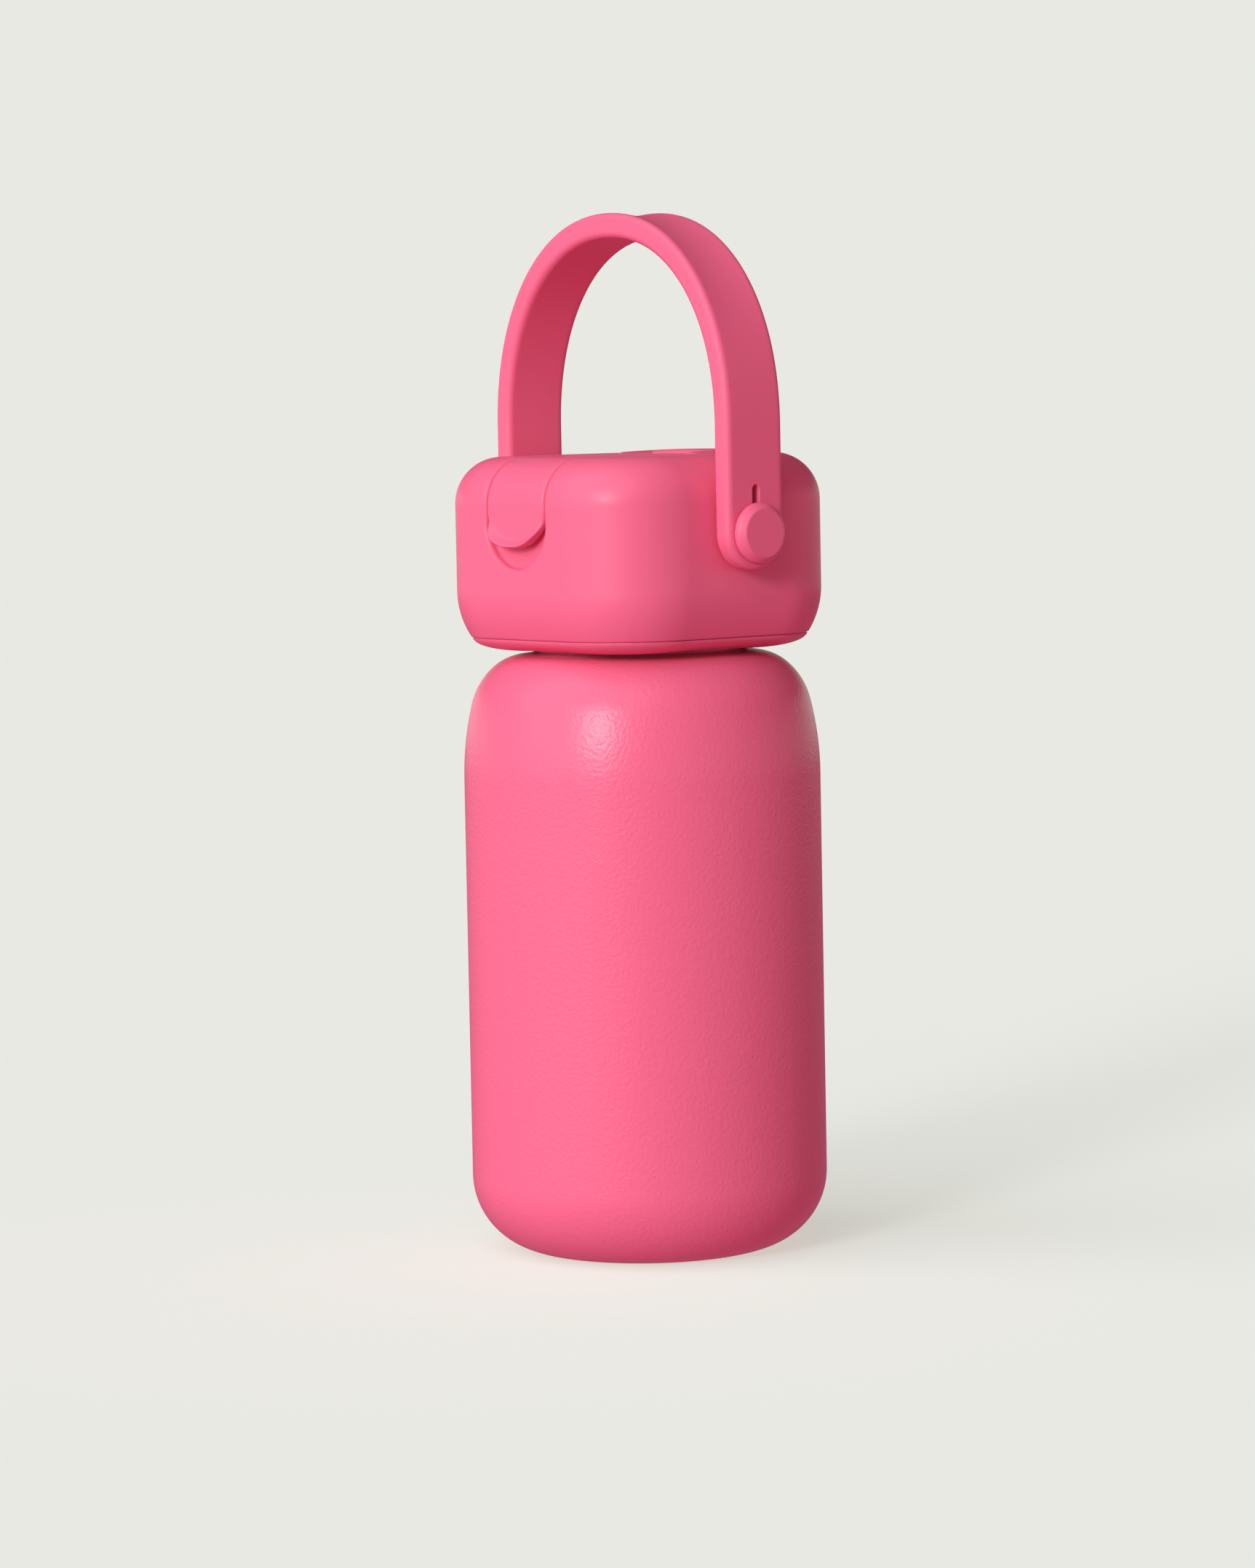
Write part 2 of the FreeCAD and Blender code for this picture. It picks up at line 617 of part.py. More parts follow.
def face_outward(body, side):
    """Turn a piece made about Z to point along +X or -X on the strap's pivot line."""
    body.Placement = FreeCAD.Placement(
        FreeCAD.Vector(0, 0, value("pivot_level")),
        FreeCAD.Rotation(FreeCAD.Vector(0, 1, 0), 90 * side),
    )
    body.setExpression("Placement.Base.z", ref("pivot_level"))


def make_studs():
    """The mushroom stud and its retaining clip on each side of the lid."""
    wall = "(lid_half-lid_wall)"
    for name, side in (("left", -1), ("right", 1)):
        stud = piece(f"pivot_stud_{name}")
        turned(stud, [
            ("0", "stud_inner"),
            ("stud_radius", "stud_inner"),
            ("stud_radius", f"{wall}-clip_wall"),
            ("clip_inner", f"{wall}-clip_wall"),
            ("clip_inner", wall),
            ("stud_radius", wall),
            ("stud_radius", "stud_shoulder"),
            ("stud_head", "stud_shoulder"),
            ("stud_head", "stud_rim"),
            ("stud_crown", "stud_face"),
            ("0", "stud_face"),
        ])
        face_outward(stud, side)
        clip = piece(f"stud_clip_{name}")
        turned(clip, box_outline("clip_inner", "clip_outer", f"{wall}-clip_wall", wall))
        face_outward(clip, side)


def check_and_export():
    """Stop on any failed object or bad solid, then write one STEP file for each body."""
    doc.recompute()
    for item in doc.Objects:
        if any(word in item.State for word in ("Invalid", "Error")):
            raise RuntimeError(f"{item.Label}: {item.State}")
    bodies = [item for item in doc.Objects if item.TypeId == "PartDesign::Body"]
    for body in bodies:
        if body.Shape.isNull() or not body.Shape.isValid():
            raise RuntimeError(f"{body.Label}: bad shape")
        if len(body.Shape.Solids) != 1:
            raise RuntimeError(f"{body.Label}: {len(body.Shape.Solids)} solids")
    os.makedirs("parts", exist_ok=True)
    for body in bodies:
        body.Shape.exportStep(f"parts/{body.Label}.step")
        box = body.Shape.BoundBox
        print(f"{body.Label:16s} {body.Shape.Volume / 1000:8.2f} cm3  "
              f"z {box.ZMin:7.2f} to {box.ZMax:7.2f}")


make_outer_shell()
make_inner_liner()
make_base_pieces()
make_lid_housing()
make_lid_base()
make_lid_collar()
make_lid_deck()
make_lid_gasket()
make_spout()
make_vent()
make_mixing_grid()
make_flap()
make_spout_plug()
make_hinge()
make_carry_strap()
make_studs()
check_and_export()
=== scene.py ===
import json
import math
from itertools import product

import bpy
import numpy as np
from bpy.props import FloatProperty, FloatVectorProperty, IntProperty, PointerProperty
from mathutils import Matrix, Vector

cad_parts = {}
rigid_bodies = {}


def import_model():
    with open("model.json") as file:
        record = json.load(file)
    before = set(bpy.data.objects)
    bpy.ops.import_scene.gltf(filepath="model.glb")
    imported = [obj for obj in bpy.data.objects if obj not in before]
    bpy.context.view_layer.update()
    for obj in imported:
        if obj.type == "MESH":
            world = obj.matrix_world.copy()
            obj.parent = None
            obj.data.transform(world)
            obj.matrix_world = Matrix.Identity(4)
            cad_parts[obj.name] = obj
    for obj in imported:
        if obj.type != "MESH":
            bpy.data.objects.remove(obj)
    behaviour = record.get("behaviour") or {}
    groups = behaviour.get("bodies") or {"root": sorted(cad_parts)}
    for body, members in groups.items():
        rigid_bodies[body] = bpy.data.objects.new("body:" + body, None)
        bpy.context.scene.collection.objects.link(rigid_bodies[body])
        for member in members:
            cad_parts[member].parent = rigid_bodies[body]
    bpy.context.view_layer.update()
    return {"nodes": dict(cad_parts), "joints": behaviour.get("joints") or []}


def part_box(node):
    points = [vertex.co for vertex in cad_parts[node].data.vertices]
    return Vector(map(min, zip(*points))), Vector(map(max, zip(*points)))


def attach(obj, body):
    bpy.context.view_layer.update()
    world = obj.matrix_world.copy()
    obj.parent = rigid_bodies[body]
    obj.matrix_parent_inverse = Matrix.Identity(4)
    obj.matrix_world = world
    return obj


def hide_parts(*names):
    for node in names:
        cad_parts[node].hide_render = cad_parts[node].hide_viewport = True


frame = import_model()

bl_info = {
    "name": "Shaker Bottle",
    "version": (1, 0, 0),
    "blender": (4, 5, 0),
    "location": "View3D > Sidebar > Shaker",
    "description": "Builds a steel shaker bottle with a flip-top lid and a silicone carry strap",
    "category": "Object",
}

MM = 0.001


# ---------------------------------------------------------------- sizes read from the frame

def span(node, axis):
    """Lowest and highest coordinate of a CAD node along an axis, in millimetres."""
    low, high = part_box(node)
    return low[axis] / MM, high[axis] / MM


def joint_place(name):
    """A joint's point in the row frame, in millimetres."""
    joint = next(item for item in frame["joints"] if item["name"] == name)
    return [number / MM for number in joint["pos_m"]]


LID_SEAM, LID_TOP = span("lid_housing", 2)
LID_HALF = span("lid_housing", 0)[1]
HINGE_Y, HINGE_Z = joint_place("flap_open")[1:]
PIVOT_Z = joint_place("handle_swing")[2]
BODY_RADIUS = span("outer_shell", 0)[1]
NECK_TOP = span("outer_shell", 2)[1]
STRAP_TOP = span("carry_strap", 2)[1]
STRAP_HALF = span("carry_strap", 1)[1]
FLAP_HALF = span("flap", 0)[1]
BLOCK_HALF = span("hinge_block", 0)[1]
BLOCK_FRONT, BLOCK_BACK = span("hinge_block", 1)
BLOCK_MIDDLE, BLOCK_REACH = (BLOCK_FRONT + BLOCK_BACK) / 2, (BLOCK_BACK - BLOCK_FRONT) / 2
POCKET_Z, BLOCK_TOP = span("hinge_block", 2)
STUD_INNER, STUD_FACE = span("pivot_stud_right", 0)
SPOUT_Y = sum(span("spout", 1)) / 2

# ---------------------------------------------------------------- distance fields, in millimetres

def meet(first, second, radius=0.0):
    """Inside both shapes, with the ridge where they cross rounded off."""
    flat = np.minimum(np.maximum(first, second), -radius)
    return flat + np.hypot(np.maximum(first + radius, 0), np.maximum(second + radius, 0))


def join(first, second, radius=0.0):
    """Inside either shape, with a fillet where they cross."""
    return -meet(-first, -second, radius)


def cut(shape, tool, radius=0.0):
    """A shape with a tool's space taken out of it, and the rim rounded."""
    return meet(shape, -tool, radius)


def between(value, low, high):
    """The layer between two levels."""
    return np.maximum(low - value, value - high)


def disc(a, b, radius):
    """A round rod seen end on."""
    return np.hypot(a, b) - radius


def rounded_box(a, b, half_a, half_b, corner):
    """A rectangle with round corners, seen in plan."""
    over_a = np.abs(a) - (half_a - corner)
    over_b = np.abs(b) - (half_b - corner)
    outside = np.hypot(np.maximum(over_a, 0), np.maximum(over_b, 0))
    return outside + np.minimum(np.maximum(over_a, over_b), 0) - corner


def ease(value):
    """A smooth step from 0 to 1."""
    held = np.clip(value, 0, 1)
    return held * held * (3 - 2 * held)


def surface_net(distance, low, high, cell):
    """Points and quads of the surface where the distance is zero.

    Each cell that the surface crosses gets one point, at the mean of the crossings on its edges.
    """
    axes = [np.arange(a - 1.5 * cell, b + 2.5 * cell, cell) for a, b in zip(low, high)]
    value = distance(*np.meshgrid(*axes, indexing="ij"))
    shape = tuple(size - 1 for size in value.shape)
    total = np.zeros(shape + (3,))
    count = np.zeros(shape)
    for axis in range(3):
        others = [other for other in range(3) if other != axis]
        for offsets in product((0, 1), repeat=2):
            begin = [slice(0, -1)] * 3
            for other, offset in zip(others, offsets):
                begin[other] = slice(offset, shape[other] + offset)
            finish = list(begin)
            begin[axis] = slice(0, -1)
            finish[axis] = slice(1, None)
            start, end = value[tuple(begin)], value[tuple(finish)]
            crossed = (start < 0) != (end < 0)
            count += crossed
            total[..., axis] += np.where(crossed, start / np.where(crossed, start - end, 1), 0)
            for other, offset in zip(others, offsets):
                total[..., other] += offset * crossed
    active = count > 0
    number = np.full(shape, -1)
    number[active] = np.arange(active.sum())
    place = (np.argwhere(active) + total[active] / count[active][:, None]) * cell
    points = place + np.array([axis[0] for axis in axes])
    quads = []
    for axis in range(3):
        second, third = (axis + 1) % 3, (axis + 2) % 3
        inside = np.moveaxis(value, (axis, second, third), (0, 1, 2)) < 0
        cells = np.moveaxis(number, (axis, second, third), (0, 1, 2))
        here, there = inside[:-1, 1:-1, 1:-1], inside[1:, 1:-1, 1:-1]
        ring = [cells[:, :-1, :-1], cells[:, 1:, :-1], cells[:, 1:, 1:], cells[:, :-1, 1:]]
        for chosen, order in ((here & ~there, (0, 1, 2, 3)), (there & ~here, (3, 2, 1, 0))):
            quads.append(np.stack([ring[corner][chosen] for corner in order], axis=1))
    return points, np.concatenate(quads)


SLOPE_STEP, SLOPE_FLOOR = 0.02, 0.1
PULL_ROUNDS, PULL_LIMIT = 5, 0.4


def slope(distance, points):
    """The gradient of a distance field."""
    parts = []
    for axis in range(3):
        shift = np.zeros(3)
        shift[axis] = SLOPE_STEP
        parts.append((distance(*(points + shift).T) - distance(*(points - shift).T)) / (2 * SLOPE_STEP))
    return np.stack(parts, axis=1)


def skin(name, distance, low, high, cell):
    """A closed object on the zero surface of a distance field, with the field's own normals.

    The net's points are pulled onto the surface in a few rounds, each by less than half a cell.
    """
    points, quads = surface_net(distance, low, high, cell)
    for _ in range(PULL_ROUNDS):
        away = distance(*points.T)
        lean = slope(distance, points)
        size = np.maximum((lean ** 2).sum(axis=1), SLOPE_FLOOR)
        move = np.clip(away / size, -PULL_LIMIT * cell, PULL_LIMIT * cell)
        points = points - lean * move[:, None]
    mesh = bpy.data.meshes.new(name)
    mesh.from_pydata((points * MM).tolist(), [], quads.tolist())
    mesh.shade_smooth()
    lean = slope(distance, points)
    lean /= np.linalg.norm(lean, axis=1)[:, None] + 1e-9
    mesh.normals_split_custom_set_from_vertices(lean.tolist())
    return add_object(name, mesh)


def add_object(name, mesh):
    """A new object in the scene that carries a mesh."""
    item = bpy.data.objects.new(name, mesh)
    bpy.context.scene.collection.objects.link(item)
    return item


# ---------------------------------------------------------------- materials

class Socket:
    """An output socket that takes part in Python arithmetic."""

    def __init__(self, tree, output):
        self.tree = tree
        self.output = output

    def maths(self, operation, *values):
        return self.tree.node("ShaderNodeMath", {"operation": operation}, *values)

    def __add__(self, other):
        return self.maths("ADD", self, other)

    def __mul__(self, other):
        return self.maths("MULTIPLY", self, other)

    __radd__ = __add__
    __rmul__ = __mul__


class Finish:
    """A material whose nodes are made one call at a time."""

    def __init__(self, name):
        self.material = bpy.data.materials.new(name)
        self.material.use_nodes = True
        self.nodes = self.material.node_tree.nodes
        self.links = self.material.node_tree.links
        self.shader = self.nodes["Principled BSDF"]

    def node(self, kind, settings, *values, pick=0, **named):
        """A node with its settings, its inputs by place or by name, and one output wrapped."""
        made = self.nodes.new(kind)
        for key, setting in settings.items():
            setattr(made, key, setting)
        for place, value in [*enumerate(values), *named.items()]:
            self.feed(made.inputs[place], value)
        return Socket(self, made.outputs[pick])

    def feed(self, target, value):
        """A link or a plain value into an input."""
        if isinstance(value, Socket):
            self.links.new(value.output, target)
        else:
            target.default_value = value

    def where(self):
        """The piece's own coordinates."""
        return self.node("ShaderNodeTexCoord", {}, pick="Object")

    def noise(self, place, scale, detail):
        """Even noise from 0 to 1."""
        return self.node("ShaderNodeTexNoise", {}, Vector=place, Scale=scale, Detail=detail)

    def bump(self, height, depth):
        """Bumps of a real depth in metres, on the shader's normal."""
        bump = self.node("ShaderNodeBump", {}, Strength=1.0, Distance=depth, Height=height)
        self.feed(self.shader.inputs["Normal"], bump)

    def set(self, **values):
        """Inputs of the main shader, with underscores for spaces."""
        for key, value in values.items():
            self.feed(self.shader.inputs[key.replace("_", " ")], value)


def opaque(colour):
    """A colour with full alpha."""
    return (colour[0], colour[1], colour[2], 1.0)


GRAIN_SCALE, GRAIN_DEPTH = 2600.0, 0.000004
MARKS_ROUND, MARKS_UP = 40.0, 4000.0
STEEL_ROUGHNESS, MARKS_ROUGHNESS = 0.22, 0.16


def coat_finish(look):
    """Powder coat: satin, with a fine orange peel."""
    finish = Finish("powder_coat")
    peel = finish.noise(finish.where(), 1.0 / look.peel_size, 3.0)
    finish.bump(peel, look.peel_depth)
    finish.set(Base_Color=opaque(look.coral), Roughness=look.coat_roughness, Specular_IOR_Level=look.gloss)
    return finish.material


def plastic_finish(look, name, roughness):
    """Moulded coral plastic or silicone: smooth and matte, with a barely visible grain."""
    finish = Finish(name)
    grain = finish.noise(finish.where(), GRAIN_SCALE, 2.0)
    finish.bump(grain, GRAIN_DEPTH)
    finish.set(Base_Color=opaque(look.coral), Roughness=roughness, Specular_IOR_Level=look.gloss)
    return finish.material


def steel_finish(look):
    """Bare steel with fine marks that lie level, as if it had been turned."""
    finish = Finish("bare_steel")
    stretch = (MARKS_ROUND, MARKS_ROUND, MARKS_UP)
    marks = finish.noise(finish.node("ShaderNodeMapping", {}, finish.where(), Scale=stretch), 1.0, 3.0)
    roughness = STEEL_ROUGHNESS + MARKS_ROUGHNESS * marks
    finish.set(Base_Color=opaque(look.steel), Metallic=1.0, Roughness=roughness)
    return finish.material


def plain_finish(name, colour, roughness, metallic=0.0):
    """One even finish."""
    finish = Finish(name)
    finish.set(Base_Color=opaque(colour), Roughness=roughness, Metallic=metallic)
    return finish.material


def wear(item, material):
    """Give an object one material."""
    item.data.materials.clear()
    item.data.materials.append(material)


def wear_node(node, material):
    """Give a CAD node a better material."""
    for place in frame["nodes"][node].material_slots:
        place.material = material


# ---------------------------------------------------------------- geometry node trees

class Shape:
    """A geometry node tree with named sizes, built one call at a time."""

    def __init__(self, name, **sizes):
        self.tree = bpy.data.node_groups.new(name, "GeometryNodeTree")
        self.tree.interface.new_socket("Geometry", in_out="OUTPUT", socket_type="NodeSocketGeometry")
        self.keys = {}
        for key, value in sizes.items():
            kind = "NodeSocketInt" if isinstance(value, int) else "NodeSocketFloat"
            if isinstance(value, bpy.types.Material):
                kind = "NodeSocketMaterial"
            if isinstance(value, bpy.types.Object):
                kind = "NodeSocketObject"
            socket = self.tree.interface.new_socket(key, in_out="INPUT", socket_type=kind)
            self.keys[key] = socket.identifier
        self.sizes = sizes
        self.entry = self.tree.nodes.new("NodeGroupInput")

    def size(self, key):
        """One of the tree's named inputs."""
        return self.entry.outputs[key]

    def node(self, kind, settings=None, pick=0, **inputs):
        """A node with its settings and inputs; the names' underscores stand for spaces."""
        made = self.tree.nodes.new(kind)
        for key, setting in (settings or {}).items():
            setattr(made, key, setting)
        for key, value in inputs.items():
            self.feed(made.inputs[key.replace("_", " ")], value)
        return made.outputs[pick]

    def chain(self, kind, values, settings=None):
        """A node whose inputs are given by place."""
        made = self.tree.nodes.new(kind)
        for key, setting in (settings or {}).items():
            setattr(made, key, setting)
        for target, value in zip([item for item in made.inputs if item.enabled], values):
            self.feed(target, value)
        return made.outputs[0]

    def feed(self, target, value):
        """A link or a plain value into an input."""
        if isinstance(value, bpy.types.NodeSocket):
            self.tree.links.new(value, target)
        else:
            target.default_value = value

    def maths(self, operation, *values):
        """A Math node."""
        return self.chain("ShaderNodeMath", values, {"operation": operation})

    def finish(self, geometry):
        """Real geometry with its material, as an object of its own."""
        real = self.node("GeometryNodeRealizeInstances", Geometry=geometry)
        coated = self.node("GeometryNodeSetMaterial", Geometry=real, Material=self.size("Material"))
        leave = self.tree.nodes.new("NodeGroupOutput")
        self.tree.links.new(coated, leave.inputs["Geometry"])
        item = add_object(self.tree.name, bpy.data.meshes.new(self.tree.name))
        modifier = item.modifiers.new(self.tree.name, "NODES")
        modifier.node_group = self.tree
        for key, value in self.sizes.items():
            modifier[self.keys[key]] = value
        bpy.context.view_layer.update()
        made = bpy.data.meshes.new_from_object(item.evaluated_get(bpy.context.evaluated_depsgraph_get()))
        item.modifiers.clear()
        made.name = self.tree.name
        item.data = made
        return item


CREASE_ANGLE = math.radians(35)
WELD_REACH = 0.00001


def smoothed(item):
    """Smooth shading, with the edges sharper than an angle kept crisp."""
    item.data.shade_smooth()
    item.data.set_sharp_from_angle(angle=CREASE_ANGLE)
    return item


def outline_object(name, corners):
    """A loose closed outline in the XZ plane, for a tree to turn into a solid."""
    mesh = bpy.data.meshes.new(name)
    count = len(corners)
    edges = [(number, (number + 1) % count) for number in range(count)]
    mesh.from_pydata([(radius * MM, 0.0, height * MM) for radius, height in corners], edges, [])
    return add_object(name, mesh)


def turned_solid(name, corners, steps, material):
    """An outline of (radius, height) in millimetres, turned about Z by a node tree."""
    rail = max(radius for radius, height in corners) * MM
    outline = outline_object(name + "_outline", corners)
    shape = Shape(name, Outline=outline, Rail=rail, Steps=steps, Material=material)
    source = shape.node("GeometryNodeObjectInfo", pick="Geometry", Object=shape.size("Outline"))
    line = shape.node("GeometryNodeMeshToCurve", Mesh=source)
    turn = shape.chain("FunctionNodeAxisAngleToRotation", [(1.0, 0.0, 0.0), math.radians(90)])
    laid = shape.node("GeometryNodeTransform", Geometry=line, Rotation=turn)
    sink = shape.maths("MULTIPLY", shape.size("Rail"), -1.0)
    offset = shape.node("ShaderNodeCombineXYZ", X=sink)
    profile = shape.node("GeometryNodeTransform", Geometry=laid, Translation=offset)
    ring = shape.node("GeometryNodeCurvePrimitiveCircle", Radius=shape.size("Rail"),
                      Resolution=shape.size("Steps"))
    level = shape.node("GeometryNodeSetCurveNormal", {"mode": "Z_UP"}, Curve=ring)
    solid = shape.node("GeometryNodeCurveToMesh", Curve=level, Profile_Curve=profile)
    closed = shape.node("GeometryNodeMergeByDistance", Geometry=solid, Distance=WELD_REACH)
    item = shape.finish(shape.node("GeometryNodeFlipFaces", Mesh=closed))
    bpy.data.objects.remove(outline)
    return smoothed(item)


def arc(centre, radius, first, last, count):
    """Points along an arc, in degrees from the radial direction towards up."""
    return [
        (centre[0] + radius * math.cos(math.radians(turn)), centre[1] + radius * math.sin(math.radians(turn)))
        for turn in np.linspace(first, last, count)
    ]


# ---------------------------------------------------------------- steel bottle

WALL = 0.6
FOOT_RADIUS, FOOT_INNER, FOOT_EDGE = 26.5, 24.0, 0.35
CORNER_RADIUS, CORNER_HEIGHT = 18.2, 18.0
SHOULDER_LEVEL = 112.0
SHOULDER_RADII = (74.0, 16.7, 11.9)
SHOULDER_TURNS = (0.0, 13.7, 48.7, 83.9)
CORNER_STEPS, SIDE_STEPS, SHOULDER_STEPS = 22, 12, 14
SIDE_MARGIN = 6
NECK_RADIUS = 24.4
NECK_FOOT = 141.6
NECK_FILLET = ((0.8, -0.15), (0.25, 0.2), (0.0, 1.0))
RECESS_LEVEL, RECESS_ROUND = 2.0, 0.4
THREAD_LEAD, THREAD_LEVEL, THREAD_TURNS = 6.0, 145.5, 1.25
THREAD_DEPTH, THREAD_ROOT, THREAD_CREST = 1.2, 1.1, 0.5
THREAD_SINK, THREAD_STEPS = 0.1, 96


def bottle_wall(inset):
    """The bottle's side from foot to neck at a depth inside the painted face, going up."""
    corner = (BODY_RADIUS - CORNER_RADIUS, CORNER_HEIGHT)
    start = -math.degrees(math.acos((FOOT_RADIUS - corner[0]) / CORNER_RADIUS))
    points = arc(corner, CORNER_RADIUS - inset, start, 0, CORNER_STEPS)
    levels = np.linspace(CORNER_HEIGHT + SIDE_MARGIN, SHOULDER_LEVEL - SIDE_MARGIN, SIDE_STEPS)
    points += [(BODY_RADIUS - inset, level) for level in levels]
    centre = (BODY_RADIUS - SHOULDER_RADII[0], SHOULDER_LEVEL)
    for number, radius in enumerate(SHOULDER_RADII):
        first, last = SHOULDER_TURNS[number:number + 2]
        points += arc(centre, radius - inset, first, last, SHOULDER_STEPS)[min(number, 1):]
        if number < 2:
            step = radius - SHOULDER_RADII[number + 1]
            turn = math.radians(last)
            centre = (centre[0] + step * math.cos(turn), centre[1] + step * math.sin(turn))
    return points


def bottle_outline():
    """The closed section of the painted shell, from the foot's inner edge round and back."""
    lip = [(FOOT_INNER, FOOT_EDGE), (FOOT_INNER + FOOT_EDGE, 0.0)]
    neck = [(NECK_RADIUS + out, NECK_FOOT + up) for out, up in NECK_FILLET]
    neck += [(NECK_RADIUS, NECK_TOP)]
    inside = [(NECK_RADIUS - WALL, NECK_TOP), (NECK_RADIUS - WALL, NECK_FOOT - WALL)]
    foot = [(FOOT_INNER + WALL + RECESS_ROUND, WALL), (FOOT_INNER + WALL, RECESS_LEVEL)]
    foot += [(FOOT_INNER, RECESS_LEVEL)]
    return lip + bottle_wall(0) + neck + inside + bottle_wall(WALL)[::-1] + foot


def screw_ridge(name, root, crest, level, turns, material):
    """A right-hand screw ridge that follows a helix, from radius root to radius crest."""
    half_root, half_crest = THREAD_ROOT * MM, THREAD_CREST * MM
    shape = Shape(name, Root=root * MM, Crest=crest * MM, Level=level * MM, Turns=turns,
                  Lead=THREAD_LEAD * MM, Material=material)
    rise = shape.maths("MULTIPLY", shape.size("Turns"), shape.size("Lead"))
    path = shape.node("GeometryNodeCurveSpiral", Resolution=THREAD_STEPS, Rotations=shape.size("Turns"),
                      Start_Radius=shape.size("Root"), End_Radius=shape.size("Root"), Height=rise)
    held = shape.node("GeometryNodeSetCurveNormal", {"mode": "Z_UP"}, Curve=path)
    depth = shape.maths("SUBTRACT", shape.size("Crest"), shape.size("Root"))
    bottom_root = shape.node("ShaderNodeCombineXYZ", Y=-half_root)
    bottom_crest = shape.node("ShaderNodeCombineXYZ", X=depth, Y=-half_crest)
    top_crest = shape.node("ShaderNodeCombineXYZ", X=depth, Y=half_crest)
    top_root = shape.node("ShaderNodeCombineXYZ", Y=half_root)
    section = shape.node("GeometryNodeCurvePrimitiveQuadrilateral", {"mode": "POINTS"},
                         Point_1=bottom_root, Point_2=bottom_crest, Point_3=top_crest, Point_4=top_root)
    ridge = shape.node("GeometryNodeCurveToMesh", Curve=held, Profile_Curve=section, Fill_Caps=True)
    lift = shape.node("ShaderNodeCombineXYZ", Z=shape.size("Level"))
    return smoothed(shape.finish(shape.node("GeometryNodeTransform", Geometry=ridge, Translation=lift)))


# ---------------------------------------------------------------- lid

LID_CORNER, LID_ROUND = 22.0, 11.0
LOWER_RUN, LOWER_ROUND = 11.0, 20.5
LID_EDGE = 0.15
FLAP_WALL, FLAP_GAP = 2.0, 0.3
SCOOP_RADIUS, SCOOP_CENTRE = 10.9, 172.7
SLOT_FLOOR_ROUND, SLOT_RIM_ROUND, SLOT_OVERLAP = 1.0, 0.95, 1
WELL_Y, WELL_HALF = -9.2, 14.8
POCKET_CORNER, POCKET_GAP = 2.0, 0.05
THROAT_CORNER, THROAT_TOP = 16.6, 153
ROOM_Y, ROOM_HALF_X, ROOM_HALF_Y, ROOM_CORNER = 1.8, 34.6, 32.8, 19.8
ROOM_FLOOR, ROOM_TOP = 152, 178.9
SPOUT_HOLE, SPOUT_HOLE_FLOOR, SPOUT_HOLE_TOP = 8.0, 177, 183
STUD_HOLE = 4.0
BASE_HALF, BASE_CORNER, BASE_DEPTH = 33.45, 18.85, 3.3
DISH_RUN, DISH_LAP, DISH_SCALE = 11.0, 0.1, 4
SEAM_HALF = 31.4
RIB_GAP, RIB_CORNER, RIB_SINK, RIB_HEIGHT = 0.05, 16.5, 0.5, 3
COLLAR_HOLE = 28.0


def lid_block(x, y, z):
    """The lid's whole outside: a rounded square with a round top and a tucked-in foot."""
    side = rounded_box(x, y, LID_HALF, LID_HALF, LID_CORNER)
    top = meet(side, z - LID_TOP, LID_ROUND)
    foot = meet(side, LID_SEAM + LOWER_RUN - LOWER_ROUND - z, LOWER_ROUND)
    return np.maximum(top, foot)


def slot_outline(x, z, half, centre, radius):
    """A strip with a half-round foot, seen from the front."""
    straight = np.abs(x) - half
    foot = np.hypot(x, z - centre) - radius
    return np.where(z > centre, straight, foot)


def lid_shape(x, y, z):
    """The lid shell with the flap's slot, the thumb scoop, the hinge pocket and the hollow inside."""
    outside = lid_block(x, y, z)
    shell = meet(outside, LID_SEAM - z, LID_EDGE)
    slot = slot_outline(x, z, FLAP_HALF + FLAP_GAP, SCOOP_CENTRE, SCOOP_RADIUS)
    slot = meet(slot, -(outside + FLAP_WALL + FLAP_GAP), SLOT_FLOOR_ROUND)
    slot = np.maximum(slot, y - (BLOCK_FRONT + SLOT_OVERLAP))
    shell = cut(shell, slot, SLOT_RIM_ROUND)
    well = rounded_box(x, y - WELL_Y, FLAP_HALF + FLAP_GAP, WELL_HALF, POCKET_CORNER)
    shell = np.maximum(shell, -np.maximum(well, POCKET_Z - z))
    pocket = rounded_box(x, y - BLOCK_MIDDLE, BLOCK_HALF + POCKET_GAP, BLOCK_REACH + POCKET_GAP,
                         POCKET_CORNER)
    shell = np.maximum(shell, -np.maximum(pocket, POCKET_Z - z))
    throat = np.maximum(rounded_box(x, y, SEAM_HALF, SEAM_HALF, THROAT_CORNER), z - THROAT_TOP)
    room = rounded_box(x, y - ROOM_Y, ROOM_HALF_X, ROOM_HALF_Y, ROOM_CORNER)
    room = np.maximum(room, between(z, ROOM_FLOOR, ROOM_TOP))
    spout_hole = np.maximum(disc(x, y - SPOUT_Y, SPOUT_HOLE), between(z, SPOUT_HOLE_FLOOR, SPOUT_HOLE_TOP))
    stud_hole = disc(y, z - PIVOT_Z, STUD_HOLE)
    shell = np.maximum(shell, -np.minimum(throat, room))
    return np.maximum(shell, -np.minimum(spout_hole, stud_hole))


